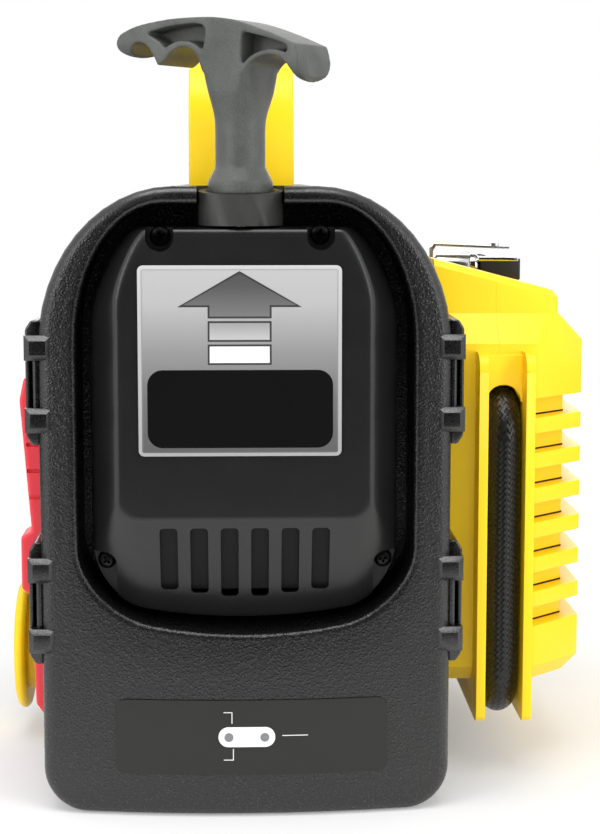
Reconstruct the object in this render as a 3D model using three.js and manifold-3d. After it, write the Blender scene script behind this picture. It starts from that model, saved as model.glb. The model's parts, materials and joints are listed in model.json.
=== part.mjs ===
// A portable jump starter with a pull-rope hand generator at one end, a finned air
// compressor module on its right side and a console with clamp bays on its left.
// Millimetres, +Z up. The rope generator faces -Y, the compressor module faces +X.
import * as THREE from 'three';
import { mergeVertices } from 'three/addons/utils/BufferGeometryUtils.js';
import Module from 'manifold-3d';

const wasm = await Module();
wasm.setup();

// Driving sizes of the case
const caseWidth = 188;
const caseHeight = 288;
const coverDepth = 45;
const batteryLength = 181;
const batteryEndRoom = 4.5;
const bodyDepth = batteryLength + 2 * batteryEndRoom;
const wall = 3;
const gap = 0.3;
const overrun = 15;
const weldDistance = 0.001;
const cornerRadius = 20;
const shoulderWidth = 62;
const shoulderHeight = 74;
const faceBulge = 10;
const rimRadius = 5;
const bodyInset = 1.5;
const archCentreShare = 0.5;

// Facets of a round outline, by the size of the round
const largeRound = 26;
const middleRound = 18;
const smallRound = 10;
const cornerSteps = 3;
const shoulderSteps = 6;

const rightAngle = Math.PI / 2;
const fullTurn = Math.PI * 2;
const half = 0.5;

// Places that follow from the driving sizes
const caseHalf = caseWidth / 2;
const bodyHalf = caseHalf - bodyInset;
const bodyFront = coverDepth;
const bodyBack = bodyFront + bodyDepth;
const caseMiddle = bodyFront + bodyDepth / 2;
const springLine = caseHeight - shoulderHeight;

// Solids

// A closed geometry as a solid, turned outside out where its profile ran the other way.
function solidOf(geometry) {
  const bare = geometry.index ? geometry.toNonIndexed() : geometry.clone();
  bare.deleteAttribute('normal');
  bare.deleteAttribute('uv');
  const merged = mergeVertices(bare);
  const vertProperties = Float32Array.from(merged.attributes.position.array);
  const triVerts = Uint32Array.from(merged.index.array);
  const made = new wasm.Manifold(new wasm.Mesh({ numProp: 3, vertProperties, triVerts }));
  if (made.volume() > 0) return made;
  for (let i = 0; i < triVerts.length; i += 3) {
    [triVerts[i + 1], triVerts[i + 2]] = [triVerts[i + 2], triVerts[i + 1]];
  }
  return new wasm.Manifold(new wasm.Mesh({ numProp: 3, vertProperties, triVerts }));
}

function geometryOf(solid) {
  const mesh = solid.getMesh();
  const geometry = new THREE.BufferGeometry();
  const stride = mesh.numProp;
  const count = mesh.vertProperties.length / stride;
  const places = new Float32Array(count * 3);
  for (let i = 0; i < count; i += 1) {
    for (let k = 0; k < 3; k += 1) places[i * 3 + k] = mesh.vertProperties[i * stride + k];
  }
  geometry.setAttribute('position', new THREE.BufferAttribute(places, 3));
  geometry.setIndex(new THREE.BufferAttribute(Uint32Array.from(mesh.triVerts), 1));
  const flat = geometry.toNonIndexed();
  flat.computeVertexNormals();
  return flat;
}

const joined = (first, ...others) => others.reduce((sum, other) => sum.add(other), first);
const cutBy = (first, ...others) => others.reduce((rest, other) => rest.subtract(other), first);

// The same count of points on any copy of an outline: a few along each arc and, where asked,
// along each level line.
function ringPoints(shape, steps = shoulderSteps, levelSteps = 1) {
  const real = shape.curves.filter((curve) => curve.getLength() > weldDistance);
  const points = real.flatMap((curve) => {
    const level = curve.isLineCurve && Math.abs(curve.v1.y - curve.v2.y) < weldDistance;
    const lineSteps = level ? levelSteps : 1;
    const count = curve.isLineCurve ? lineSteps : steps;
    return Array.from({ length: count }, (_, i) => curve.getPoint((i + 1) / count));
  });
  const start = real[0].getPoint(0);
  const closed = start.distanceTo(points[points.length - 1]) < weldDistance;
  return closed ? points : [start, ...points];
}

// The same outline with each curve drawn in a few straight steps
function faceted(shape, steps) {
  const outline = new THREE.Shape(ringPoints(shape, steps));
  outline.holes = (shape.holes || []).map((hole) => new THREE.Path(ringPoints(hole, steps)));
  return outline;
}

// An outline drawn in X and Z, run along Y from near to far.
function alongY(shape, near, far, steps = cornerSteps) {
  const geometry = new THREE.ExtrudeGeometry(faceted(shape, steps), {
    depth: far - near, bevelEnabled: false,
  });
  return solidOf(geometry.rotateX(rightAngle).translate(0, far, 0));
}

// An outline drawn in Y and Z, run along X from low to high.
function alongX(shape, low, high, steps = cornerSteps) {
  const geometry = new THREE.ExtrudeGeometry(faceted(shape, steps), {
    depth: high - low, bevelEnabled: false,
  });
  const axes = new THREE.Matrix4().makeBasis(
    new THREE.Vector3(0, 1, 0), new THREE.Vector3(0, 0, 1), new THREE.Vector3(1, 0, 0),
  );
  return solidOf(geometry.applyMatrix4(axes).translate(low, 0, 0));
}

// An outline drawn in X and Y, run along Z from low to high.
function alongZ(shape, low, high, steps = cornerSteps) {
  const geometry = new THREE.ExtrudeGeometry(faceted(shape, steps), {
    depth: high - low, bevelEnabled: false,
  });
  return solidOf(geometry.translate(0, 0, low));
}

function block(x0, x1, y0, y1, z0, z1) {
  const geometry = new THREE.BoxGeometry(x1 - x0, y1 - y0, z1 - z0);
  return solidOf(geometry.translate((x0 + x1) / 2, (y0 + y1) / 2, (z0 + z1) / 2));
}

// A profile of [radius, place] pairs turned about an axis through a point.
function turned(profile, axis, x, y, z, segments = middleRound) {
  const points = profile.map(([radius, place]) => new THREE.Vector2(radius, place));
  const geometry = new THREE.LatheGeometry(points, segments);
  if (axis === 'z') geometry.rotateX(rightAngle);
  if (axis === 'x') geometry.rotateZ(-rightAngle);
  return solidOf(geometry.translate(x, y, z));
}

// A plain cylinder from one place to another along an axis.
function rod(axis, from, to, radius, x, y, z, segments = middleRound) {
  return turned([[0, from], [radius, from], [radius, to], [0, to]], axis, x, y, z, segments);
}

function roundedBox(x0, x1, y0, y1, radius) {
  const shape = new THREE.Shape();
  shape.moveTo(x0 + radius, y0);
  shape.lineTo(x1 - radius, y0);
  shape.absarc(x1 - radius, y0 + radius, radius, -rightAngle, 0);
  shape.lineTo(x1, y1 - radius);
  shape.absarc(x1 - radius, y1 - radius, radius, 0, rightAngle);
  shape.lineTo(x0 + radius, y1);
  shape.absarc(x0 + radius, y1 - radius, radius, rightAngle, 2 * rightAngle);
  shape.lineTo(x0, y0 + radius);
  shape.absarc(x0 + radius, y0 + radius, radius, 2 * rightAngle, 3 * rightAngle);
  return shape;
}

function polygon(points) {
  return new THREE.Shape(points.map(([x, y]) => new THREE.Vector2(x, y)));
}

// A skin over rings of equal count, closed by a fan to a point at each end.
function skinned(rings, startPoint, endPoint) {
  const places = [];
  const count = rings[0].length;
  for (const ring of rings) for (const point of ring) places.push(...point.toArray());
  places.push(...startPoint.toArray(), ...endPoint.toArray());
  const start = rings.length * count;
  const index = [];
  for (let i = 0; i < count; i += 1) {
    const next = (i + 1) % count;
    for (let r = 0; r + 1 < rings.length; r += 1) {
      const a = r * count;
      const b = a + count;
      index.push(a + i, a + next, b + i, b + i, a + next, b + next);
    }
    index.push(start, next, i);
    const last = (rings.length - 1) * count;
    index.push(start + 1, last + i, last + next);
  }
  const geometry = new THREE.BufferGeometry();
  geometry.setAttribute('position', new THREE.Float32BufferAttribute(places, 3));
  geometry.setIndex(index);
  return solidOf(geometry);
}

// The case: two domed end covers on a tubular body

// The arched outline of the case, drawn in by an inset all round.
function archShape(inset) {
  const side = caseHalf - inset;
  const low = inset;
  const radius = cornerRadius - inset;
  const shoulderX = caseHalf - shoulderWidth;
  const shoulderRX = shoulderWidth - inset;
  const shoulderRZ = shoulderHeight - inset;
  const shape = new THREE.Shape();
  shape.moveTo(-side + radius, low);
  shape.lineTo(side - radius, low);
  shape.absarc(side - radius, low + radius, radius, -rightAngle, 0);
  shape.lineTo(side, springLine);
  shape.absellipse(shoulderX, springLine, shoulderRX, shoulderRZ, 0, rightAngle);
  shape.lineTo(-shoulderX, springLine + shoulderRZ);
  shape.absellipse(-shoulderX, springLine, shoulderRX, shoulderRZ, rightAngle, 2 * rightAngle);
  shape.lineTo(-side, low + radius);
  shape.absarc(-side + radius, low + radius, radius, 2 * rightAngle, 3 * rightAngle);
  return shape;
}

const archPoints = (inset, steps) => ringPoints(archShape(inset), steps, shoulderSteps);

const bulgeAt = (x) => faceBulge * Math.max(0, 1 - (x / caseHalf) ** 2);

// The front skin of a cover: a rim of a given radius round a face that bulges across X.
function domedArch(inset, front, back, steps = shoulderSteps) {
  const rimShares = [0, 0.35, 0.7, 1];
  const faceShares = [0.62, 0.28];
  const middle = caseHeight * archCentreShare;
  const rings = [archPoints(inset, steps).map((p) => new THREE.Vector3(p.x, back, p.y))];
  for (const angle of rimShares.map((share) => share * rightAngle)) {
    const inward = rimRadius * (1 - Math.cos(angle));
    const depth = rimRadius * (1 - Math.sin(angle));
    const ring = archPoints(inset + inward, steps);
    rings.push(ring.map((p) => new THREE.Vector3(p.x, front + depth - bulgeAt(p.x), p.y)));
  }
  const edge = rings[rings.length - 1];
  for (const share of faceShares) {
    rings.push(edge.map((p) => {
      const x = p.x * share;
      return new THREE.Vector3(x, front - bulgeAt(x), middle + (p.z - middle) * share);
    }));
  }
  return skinned(
    rings, new THREE.Vector3(0, back, middle), new THREE.Vector3(0, front - faceBulge, middle),
  );
}

// The pocket in the near cover that holds the generator
const pocketRoof = 8;
const pocket = {
  halfWidth: 76.5, top: caseHeight - pocketRoof, bottom: 83, depth: 38, footRise: 22, footRadius: 30,
  shoulderRX: 40, shoulderRZ: 62,
};

function pocketShape(grow) {
  const side = pocket.halfWidth + grow;
  const top = pocket.top + grow;
  const bottom = pocket.bottom - grow;
  const springX = pocket.halfWidth - pocket.shoulderRX;
  const springZ = pocket.top - pocket.shoulderRZ;
  const footX = side - pocket.footRadius;
  const footZ = bottom + pocket.footRise;
  const shape = new THREE.Shape();
  shape.moveTo(-footX, footZ - pocket.footRadius / 2);
  shape.quadraticCurveTo(0, bottom - pocket.footRise * archCentreShare / 4, footX,
    footZ - pocket.footRadius / 2);
  shape.quadraticCurveTo(side, footZ, side, footZ + pocket.footRadius / 2);
  shape.lineTo(side, springZ);
  shape.absellipse(springX, springZ, pocket.shoulderRX + grow, pocket.shoulderRZ + grow, 0, rightAngle);
  shape.lineTo(-springX, top);
  shape.absellipse(
    -springX, springZ, pocket.shoulderRX + grow, pocket.shoulderRZ + grow, rightAngle, 2 * rightAngle,
  );
  shape.lineTo(-side, footZ + pocket.footRadius / 2);
  shape.quadraticCurveTo(-side, footZ, -footX, footZ - pocket.footRadius / 2);
  return shape;
}

// The rope leaves the generator on this vertical line
const rope = { x: -2, y: 7, radius: 2 };

// The collar that the pull handle parks on
const collarDrop = 4;
const collar = { radius: 19.3, top: caseHeight - collarDrop, bore: 6, flare: 10, flareDepth: 5 };
const notchClearance = 1;

const shellOuter = domedArch(0, 0, coverDepth - gap);
const coverHollow = domedArch(wall, wall, coverDepth + overrun, cornerSteps);
const pocketTub = alongY(pocketShape(wall), -overrun, pocket.depth + wall, shoulderSteps);
const pocketHole = alongY(pocketShape(0), -overrun - faceBulge, pocket.depth, shoulderSteps);
const notchRadius = collar.radius + notchClearance;
const ropeNotch = joined(
  rod('z', pocket.top - overrun, caseHeight + overrun, notchRadius, rope.x, rope.y, 0),
  block(rope.x - notchRadius, rope.x + notchRadius, -overrun - faceBulge, rope.y,
    pocket.top - overrun, caseHeight + overrun),
);
const notchTub = joined(
  rod('z', pocket.top - overrun, caseHeight, notchRadius + wall, rope.x, rope.y, 0),
  block(rope.x - notchRadius - wall, rope.x + notchRadius + wall, -faceBulge, rope.y,
    pocket.top - overrun, caseHeight),
).intersect(shellOuter);
const nearCover = cutBy(
  joined(shellOuter.subtract(coverHollow), pocketTub.intersect(shellOuter), notchTub),
  pocketHole, ropeNotch,
);

// The far cover mirrors the near one, with no pocket.
const mirrored = (solid) => solid.mirror([0, 1, 0]).translate([0, 2 * caseMiddle, 0]);
const farCover = mirrored(shellOuter.subtract(coverHollow));

// Clamp bays in the left side, one at each end of the body
const bay = { depth: 38, width: 30, fromEnd: 11, bottom: 20, top: 206, radius: 6 };
const bayNear = bodyFront + bay.fromEnd;
const bayMiddle = bayNear + bay.width / 2;

function bayBox(grow, depth) {
  const shape = roundedBox(
    bayNear - grow, bayNear + bay.width + grow, bay.bottom - grow, bay.top + grow, bay.radius,
  );
  return alongX(shape, -bodyHalf - overrun, -bodyHalf + depth);
}

// The console window between the bays
const consoleSize = { width: 96, bottom: 86, top: 208, thickness: 2.7, rim: 4.5, radius: 7 };
const consoleNear = caseMiddle - consoleSize.width / 2;
const consoleFar = caseMiddle + consoleSize.width / 2;

const bodyOutline = archShape(bodyInset);
const bodyPrism = alongY(bodyOutline, bodyFront + gap, bodyBack - gap, shoulderSteps);
const bodyHollow = alongY(archShape(bodyInset + wall), bodyFront - overrun, bodyBack + overrun,
  shoulderSteps);
const bayTub = bayBox(wall, bay.depth + wall).intersect(bodyPrism);
const bayHole = bayBox(0, bay.depth);
const consoleWindow = alongX(roundedBox(
  consoleNear + consoleSize.rim, consoleFar - consoleSize.rim,
  consoleSize.bottom + consoleSize.rim, consoleSize.top - consoleSize.rim, consoleSize.radius,
), -bodyHalf - overrun, -bodyHalf + overrun);

// The circuit board stands off the right wall on four bosses.
const board = { near: 75, far: 205, bottom: 30, top: 150, thickness: 1.6, standoff: 8, bossRadius: 4,
  margin: 8 };
const boardX = bodyHalf - wall - board.standoff;
const boardBosses = [];
for (const y of [board.near + board.margin, board.far - board.margin]) {
  for (const z of [board.bottom + board.margin, board.top - board.margin]) {
    boardBosses.push(rod('x', boardX + gap, bodyHalf - wall / 2, board.bossRadius, 0, y, z, smallRound));
  }
}

// The clamps' sizes also set the pads that they lie on in the bays.
const clampInset = 8.5;
const clamp = {
  reach: 25.5, axisX: clampInset - bodyHalf, pivotZ: 105, handle: 93, jaw: 78, width: 24,
    handleThick: 9.5, hubRadius: 8,
  hubClear: 1, earWidth: 5.6, hubGap: 0.4, pinRadius: 3, waist: 20.2, tipWidth: 14, jawBack: 2.3,
  plate: 1.7, plateGap: 0.3, teeth: 9, toothDepth: 0.9, padWidth: 14, padShares: [0.8, -0.15],
  tipDraw: 0.7, heelDraw: 0.4, noseDraw: 2.5, noseReach: 6, innerDraw: 3, hubOverlap: 1,
};
const bayFloor = -bodyHalf + bay.depth;
const padTop = clamp.axisX + clamp.reach + gap;
const clampPads = clamp.padShares.map((share) => {
  const z = clamp.pivotZ + share * clamp.handle;
  return block(padTop, bayFloor + wall / 2, bayMiddle - clamp.padWidth / 2, bayMiddle + clamp.padWidth / 2,
    z - clamp.padWidth / 2, z + clamp.padWidth / 2);
});
const bayPads = joined(...clampPads);
const mainBody = joined(
  cutBy(
    joined(bodyPrism.subtract(bodyHollow), bayTub, mirrored(bayTub), ...boardBosses),
    bayHole, mirrored(bayHole), consoleWindow,
  ),
  bayPads, mirrored(bayPads),
);

// Cover clips: a bar at the case edge with two hooks over the cover's face

const clip = {
  height: 57, thickness: 5.6, hookReach: 6.5, hookHeight: 11, hookPitch: 33, hookFront: 3,
  hookSink: 2.6, bevel: 2.4, foot: 10, upperMiddle: 199, lowerMiddle: 97, barNear: 6,
};

function coverClip(side, middle) {
  const inner = caseHalf + gap;
  const outer = inner + clip.thickness;
  const near = clip.barNear;
  const far = bodyFront + clip.foot;
  const low = middle - clip.height / 2;
  const high = middle + clip.height / 2;
  const bar = alongY(polygon([
    [inner, low], [outer - clip.bevel, low], [outer, low + clip.bevel], [outer, high - clip.bevel],
    [outer - clip.bevel, high], [inner, high],
  ]), near, far);
  const hooks = [-half, half].map((share) => {
    const z = middle + share * clip.hookPitch;
    const front = rimRadius - bulgeAt(caseHalf - clip.hookReach) - clip.hookFront - clip.hookSink;
    const plan = polygon([
      [inner, near + overrun * half], [inner, -bulgeAt(caseHalf - rimRadius) + gap * half],
      [caseHalf - clip.hookReach, front + clip.hookFront],
      [caseHalf - clip.hookReach, front + clip.bevel * half],
      [caseHalf - clip.hookReach + clip.bevel * half, front],
      [outer - clip.bevel, front], [outer, front + clip.bevel], [outer, near + overrun * half],
    ]);
    return alongZ(plan, z - clip.hookHeight / 2, z + clip.hookHeight / 2);
  });
  const window = block(inner - gap, outer - clip.thickness / 3, near + clip.bevel,
    near + clip.bevel + overrun,
    middle - clip.hookPitch / 2 + clip.hookHeight / 2, middle + clip.hookPitch / 2 - clip.hookHeight / 2);
  const foot = block(bodyHalf + gap, outer - clip.bevel, bodyFront + 2 * gap, far, low + clip.bevel,
    high - clip.bevel);
  const whole = cutBy(joined(bar, foot, ...hooks), window, clipSeat);
  return side > 0 ? whole : whole.mirror([1, 0, 0]);
}
const clipSeat = domedArch(-gap, -gap, coverDepth, shoulderSteps);

// The rope generator

const generatorRoof = 10;
const faceDrop = 3.5;
const generatorTop = pocket.top - generatorRoof;
const generator = {
  front: -12, edge: 8, halfWidth: 70, top: generatorTop, bottom: 91, shoulderX: 24, shoulderZ: 34,
  footX: 20, footZ: 20, footRise: 11, faceHalf: 57, faceTop: generatorTop - faceDrop, faceBottom: 138,
    slopeBottom: 99,
  slopeShare: 0.5, cornerFace: 7, crown: 1.5, wall: 2.5, centreX: -0.6,
};

// One ring of the generator cover: an outline of fixed count for any set of sizes.
function generatorRing(s, y) {
  const shape = new THREE.Shape();
  const cx = generator.centreX;
  const footBase = s.bottom + s.rise;
  shape.moveTo(cx - s.side + s.footX, footBase);
  shape.quadraticCurveTo(cx, s.bottom - s.rise * half, cx + s.side - s.footX, footBase);
  shape.quadraticCurveTo(cx + s.side, footBase + s.footZ * half / 2, cx + s.side, footBase + s.footZ);
  shape.lineTo(cx + s.side, s.top - s.shoulderZ);
  shape.quadraticCurveTo(cx + s.side, s.top, cx + s.side - s.shoulderX, s.top);
  shape.lineTo(cx - s.side + s.shoulderX, s.top);
  shape.quadraticCurveTo(cx - s.side, s.top, cx - s.side, s.top - s.shoulderZ);
  shape.lineTo(cx - s.side, footBase + s.footZ);
  shape.quadraticCurveTo(cx - s.side, footBase + s.footZ * half / 2, cx - s.side + s.footX, footBase);
  return ringPoints(shape, cornerSteps).map((p) => new THREE.Vector3(p.x, y, p.y));
}

const between = (a, b, share) => a + (b - a) * share;

// The cover's skin, drawn in by an inset for the hollow inside it.
function generatorSkin(inset, back) {
  const edge = {
    side: generator.halfWidth - inset, top: generator.top - inset, bottom: generator.bottom + inset,
    rise: generator.footRise, footX: generator.footX, footZ: generator.footZ,
    shoulderX: generator.shoulderX, shoulderZ: generator.shoulderZ,
  };
  const face = {
    side: generator.faceHalf - inset, top: generator.faceTop - inset, bottom: generator.faceBottom + inset,
    rise: 0, footX: generator.cornerFace, footZ: generator.cornerFace,
    shoulderX: generator.cornerFace * 2, shoulderZ: generator.cornerFace * 2,
  };
  const slope = Object.fromEntries(
    Object.keys(edge).map((key) => [key, between(edge[key], face[key], generator.slopeShare)]),
  );
  slope.bottom = generator.slopeBottom + inset;
  const crowned = { ...face, side: face.side - generator.crown, top: face.top - generator.crown,
    bottom: face.bottom + generator.crown };
  const front = generator.front + inset;
  const middleY = between(generator.edge, front, generator.slopeShare);
  const middleZ = between(generator.faceBottom, generator.faceTop, half);
  return skinned(
    [
      generatorRing(edge, back), generatorRing(edge, generator.edge),
      generatorRing(slope, middleY), generatorRing(face, front + generator.crown),
      generatorRing(crowned, front),
    ],
    new THREE.Vector3(generator.centreX, back, middleZ),
    new THREE.Vector3(generator.centreX, front, middleZ),
  );
}

const baseThickness = 3.5;
const baseBack = pocket.depth - gap;
const baseFront = baseBack - baseThickness;
const coverBack = baseFront - gap;

const vent = { count: 6, pitch: 13.8, width: 8.1, bottom: 102, top: 134.5, lift: 0.5 };
const ventSlots = [];
for (let i = 0; i < vent.count; i += 1) {
  const x = generator.centreX + (i - (vent.count - 1) / 2) * vent.pitch;
  const lift = Math.abs(i - (vent.count - 1) / 2) * vent.lift;
  ventSlots.push(alongY(
    roundedBox(x - vent.width / 2, x + vent.width / 2, vent.bottom + lift, vent.top, vent.width / 4),
    generator.front - overrun, generator.edge,
  ));
}

const screwDrop = 4;
const screwSeat = { topX: 37, topZ: generator.top - screwDrop, topRadius: 6, footX: 64, footZ: 116,
  footRadius: 5, depth: 12,
  wall: 2 };
const seatBack = generator.front + screwSeat.depth;
function seatSolids(grow, front, back) {
  const solids = [];
  for (const side of [-1, 1]) {
    const topX = generator.centreX + side * screwSeat.topX;
    const footX = generator.centreX + side * screwSeat.footX;
    const topRadius = screwSeat.topRadius + grow;
    const footRadius = screwSeat.footRadius + grow;
    const footReach = generator.halfWidth - screwSeat.footX;
    solids.push(
      rod('y', front, back, topRadius, topX, 0, screwSeat.topZ, smallRound),
      block(topX - topRadius, topX + topRadius, front, back, screwSeat.topZ, generator.top + overrun),
      rod('y', front, back, footRadius, footX, 0, screwSeat.footZ, smallRound),
      block(footX - footRadius, footX + footRadius, front, back,
        screwSeat.footZ - screwSeat.footRadius - footReach * 3, screwSeat.footZ),
      block(Math.min(footX, footX + side * footReach * 2), Math.max(footX, footX + side * footReach * 2),
        front, back, screwSeat.footZ - screwSeat.footRadius - footReach * 3, screwSeat.footZ + grow),
    );
  }
  return solids;
}
const generatorOuter = generatorSkin(0, coverBack);
const generatorHollow = generatorSkin(generator.wall, coverBack + overrun);
const seatTubs = joined(...seatSolids(screwSeat.wall, generator.front - overrun, seatBack + screwSeat.wall));
const seatHoles = seatSolids(0, generator.front - overrun, seatBack);
const ropeHole = rod('z', generator.top - overrun, generator.top + overrun, collar.bore, rope.x, rope.y,
  0, smallRound);
const generatorCover = cutBy(
  generatorOuter.subtract(generatorHollow.subtract(seatTubs)), ...seatHoles, ...ventSlots, ropeHole,
);

// The reel: rope groove, gear and spring drum on one axle
const reelDrop = 80;
const reel = {
  ropeRadius: 24, z: generator.top - reelDrop, coreRadius: 22, flangeRadius: 29, grooveWidth: 9,
    flange: 2, gearWidth: 5,
  drumRadius: 26, drumDepth: 5, axleRadius: 5, boreClearance: 0.3,
};
const gears = { module: 1.9, reelTeeth: 38, pinionTeeth: 12, addendumShare: 0.8, dedendumShare: 1.25,
  backlash: 0.5 };
const pressureAngle = THREE.MathUtils.degToRad(20);
const reelX = rope.x - reel.ropeRadius;
const centreDistance = gears.module * (gears.reelTeeth + gears.pinionTeeth) / 2;
const rotorX = reelX + centreDistance;

// A gear's outline: each flank runs from an involute's root to its tip.
function gearShape(teeth, phase) {
  const pitchRadius = gears.module * teeth / 2;
  const baseRadius = pitchRadius * Math.cos(pressureAngle);
  const rootRadius = pitchRadius - gears.module * gears.dedendumShare;
  const tipRadius = pitchRadius + gears.module * gears.addendumShare;
  const involute = (angle) => Math.tan(angle) - angle;
  const halfTooth = (radius) => {
    const angle = radius > baseRadius ? Math.acos(baseRadius / radius) : 0;
    return rightAngle / teeth - gears.backlash / (2 * pitchRadius) + involute(pressureAngle) - involute(angle);
  };
  const shape = new THREE.Shape();
  for (let i = 0; i < teeth; i += 1) {
    const middle = (i / teeth) * fullTurn + phase;
    const flank = [rootRadius, tipRadius];
    const points = [
      ...flank.map((r) => [r, middle - halfTooth(r)]),
      ...[...flank].reverse().map((r) => [r, middle + halfTooth(r)]),
    ];
    points.forEach(([r, angle], k) => {
      const place = [r * Math.cos(angle), r * Math.sin(angle)];
      if (i === 0 && k === 0) shape.moveTo(...place);
      else shape.lineTo(...place);
    });
  }
  return shape;
}

const grooveNear = rope.y - reel.grooveWidth / 2;
const grooveFar = rope.y + reel.grooveWidth / 2;
const gearNear = grooveFar + reel.flange;
const gearFar = gearNear + reel.gearWidth;
const reelBody = turned([
  [0, grooveNear - reel.flange - reel.drumDepth],
  [reel.drumRadius, grooveNear - reel.flange - reel.drumDepth],
  [reel.drumRadius, grooveNear - reel.flange], [reel.flangeRadius, grooveNear - reel.flange],
  [reel.flangeRadius, grooveNear], [reel.coreRadius, grooveNear], [reel.coreRadius, grooveFar],
  [reel.flangeRadius, grooveFar], [reel.flangeRadius, gearNear + gap], [0, gearNear + gap],
], 'y', reelX, 0, reel.z, middleRound);
const reelGear = alongY(gearShape(gears.reelTeeth, 0), gearNear, gearFar).translate([reelX, 0, reel.z]);
const reelBore = rod('y', baseFront - overrun * 4, baseFront, reel.axleRadius + reel.boreClearance,
  reelX, 0, reel.z);
const ropeReel = cutBy(joined(reelBody, reelGear), reelBore);

// The rotor turns in a ring of poles, driven by a pinion in line with the reel's gear.
const rotor = { radius: 17, length: 10, shaftRadius: 3, poleGap: 0.8 };
const stator = { outer: 37, poleRoot: 30, poleCount: 8, poleShare: 0.32, length: 9 };
const rotorFar = baseFront - gap * 3;
const rotorNear = rotorFar - rotor.length;
const rotorBody = joined(
  rod('y', rotorNear, rotorFar, rotor.radius, rotorX, 0, reel.z),
  alongY(gearShape(gears.pinionTeeth, rightAngle * 2 / gears.pinionTeeth), gearNear, rotorNear + gap)
    .translate([rotorX, 0, reel.z]),
  rod('y', grooveNear, gearNear + gap, rotor.shaftRadius, rotorX, 0, reel.z, smallRound),
);
const poleRing = new THREE.Shape().absarc(0, 0, stator.outer, 0, fullTurn);
const poleBore = new THREE.Path();
for (let i = 0; i < stator.poleCount; i += 1) {
  const step = fullTurn / stator.poleCount;
  const middle = i * step;
  const reach = step * stator.poleShare;
  const inner = rotor.radius + rotor.poleGap;
  const places = [
    [inner, middle - reach], [inner, middle], [inner, middle + reach],
    [stator.poleRoot, middle + reach / 2], [stator.poleRoot, middle + step - reach / 2],
  ];
  places.forEach(([r, angle], k) => {
    const place = [r * Math.cos(angle), r * Math.sin(angle)];
    if (i === 0 && k === 0) poleBore.moveTo(...place);
    else poleBore.lineTo(...place);
  });
}
poleRing.holes.push(poleBore);
const statorRing = alongY(poleRing, baseFront - gap - stator.length, baseFront - gap, largeRound)
  .translate([rotorX, 0, reel.z]);

// The base carries the axle, with a rotor bearing in its middle.
const basePlate = generatorSkin(generator.wall, baseBack).intersect(
  block(-caseHalf, caseHalf, baseFront, baseBack, 0, caseHeight),
);
const reelAxle = rod('y', grooveNear - reel.flange - reel.drumDepth, baseFront + gap, reel.axleRadius,
  reelX, 0, reel.z);
const generatorBase = joined(basePlate, reelAxle);

// Rope from the reel's side up to the handle's foot
const collarBottom = generator.top + gap;
const handleFoot = collar.top + gap;
const ropeSolid = rod('z', reel.z, handleFoot - gap, rope.radius, rope.x, rope.y, 0, smallRound);
const ropeCollar = turned([
  [collar.bore, collarBottom], [collar.radius, collarBottom], [collar.radius, collar.top],
  [collar.flare, collar.top], [collar.bore, collar.top - collar.flareDepth], [collar.bore, collarBottom],
], 'z', rope.x, rope.y, 0, largeRound);

const labelDrop = 13.4;
const labelHeight = 85.3;
const pullLabel = { left: -48.2, right: 42.7, bottom: generator.faceTop - labelDrop - labelHeight,
  top: generator.faceTop - labelDrop, radius: 2.5, thickness: 0.8 };
const labelPlate = alongY(
  roundedBox(pullLabel.left, pullLabel.right, pullLabel.bottom, pullLabel.top, pullLabel.radius),
  generator.front - gap - pullLabel.thickness, generator.front - gap,
);

// The indicator label on the near cover's lower face

const indicator = {
  left: -60.5, right: 65, bottom: 19.5, top: 55, radius: 5, thickness: 0.7,
  windowHalf: 13.2, windowHeight: 9.4, windowZ: 37.7, windowThickness: 1.1,
  lampX: 8.2, lampRadius: 2.1, lampThickness: 1.5,
};
const labelPrism = alongY(
  roundedBox(indicator.left, indicator.right, indicator.bottom, indicator.top, indicator.radius),
  -faceBulge - overrun, rimRadius,
);
const windowPrism = (grow, front, back) => alongY(roundedBox(
  -indicator.windowHalf - grow, indicator.windowHalf + grow,
  indicator.windowZ - indicator.windowHeight / 2 - grow,
    indicator.windowZ + indicator.windowHeight / 2 + grow,
  indicator.windowHeight / 2 + grow * half,
), front, back);
const labelFace = domedArch(0, 0, coverDepth);
const indicatorLabel = cutBy(
  labelPrism.intersect(labelFace.translate([0, -gap - indicator.thickness, 0])),
  labelFace.translate([0, -gap, 0]),
  windowPrism(gap, -faceBulge - overrun, 0),
);
const windowBack = -faceBulge - gap;
const lampHoles = [-1, 1].map((side) => rod('y', windowBack - overrun, windowBack + overrun,
  indicator.lampRadius + gap, side * indicator.lampX, 0, indicator.windowZ, smallRound));
const indicatorWindow = cutBy(
  windowPrism(0, windowBack - indicator.windowThickness, windowBack), ...lampHoles,
);
const indicatorLamp = (side) => rod('y', windowBack - indicator.lampThickness, windowBack,
  indicator.lampRadius, side * indicator.lampX, 0, indicator.windowZ, smallRound);

// The pull handle: an arched grip with finger scallops on a round stem

const gripRise = 74.4;
const coneRise = 11.5;
const grip = {
  turn: THREE.MathUtils.degToRad(-32), depth: 29, leftReach: 56.5, rightReach: 36.5,
  top: caseHeight + gripRise,
  height: 42, stemRadius: 11.3, footRadius: 14.7, footHeight: 5, coneTop: collar.top + coneRise, flare: 2.5,
  socket: 4, socketDepth: 14, web: 5,
};
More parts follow.
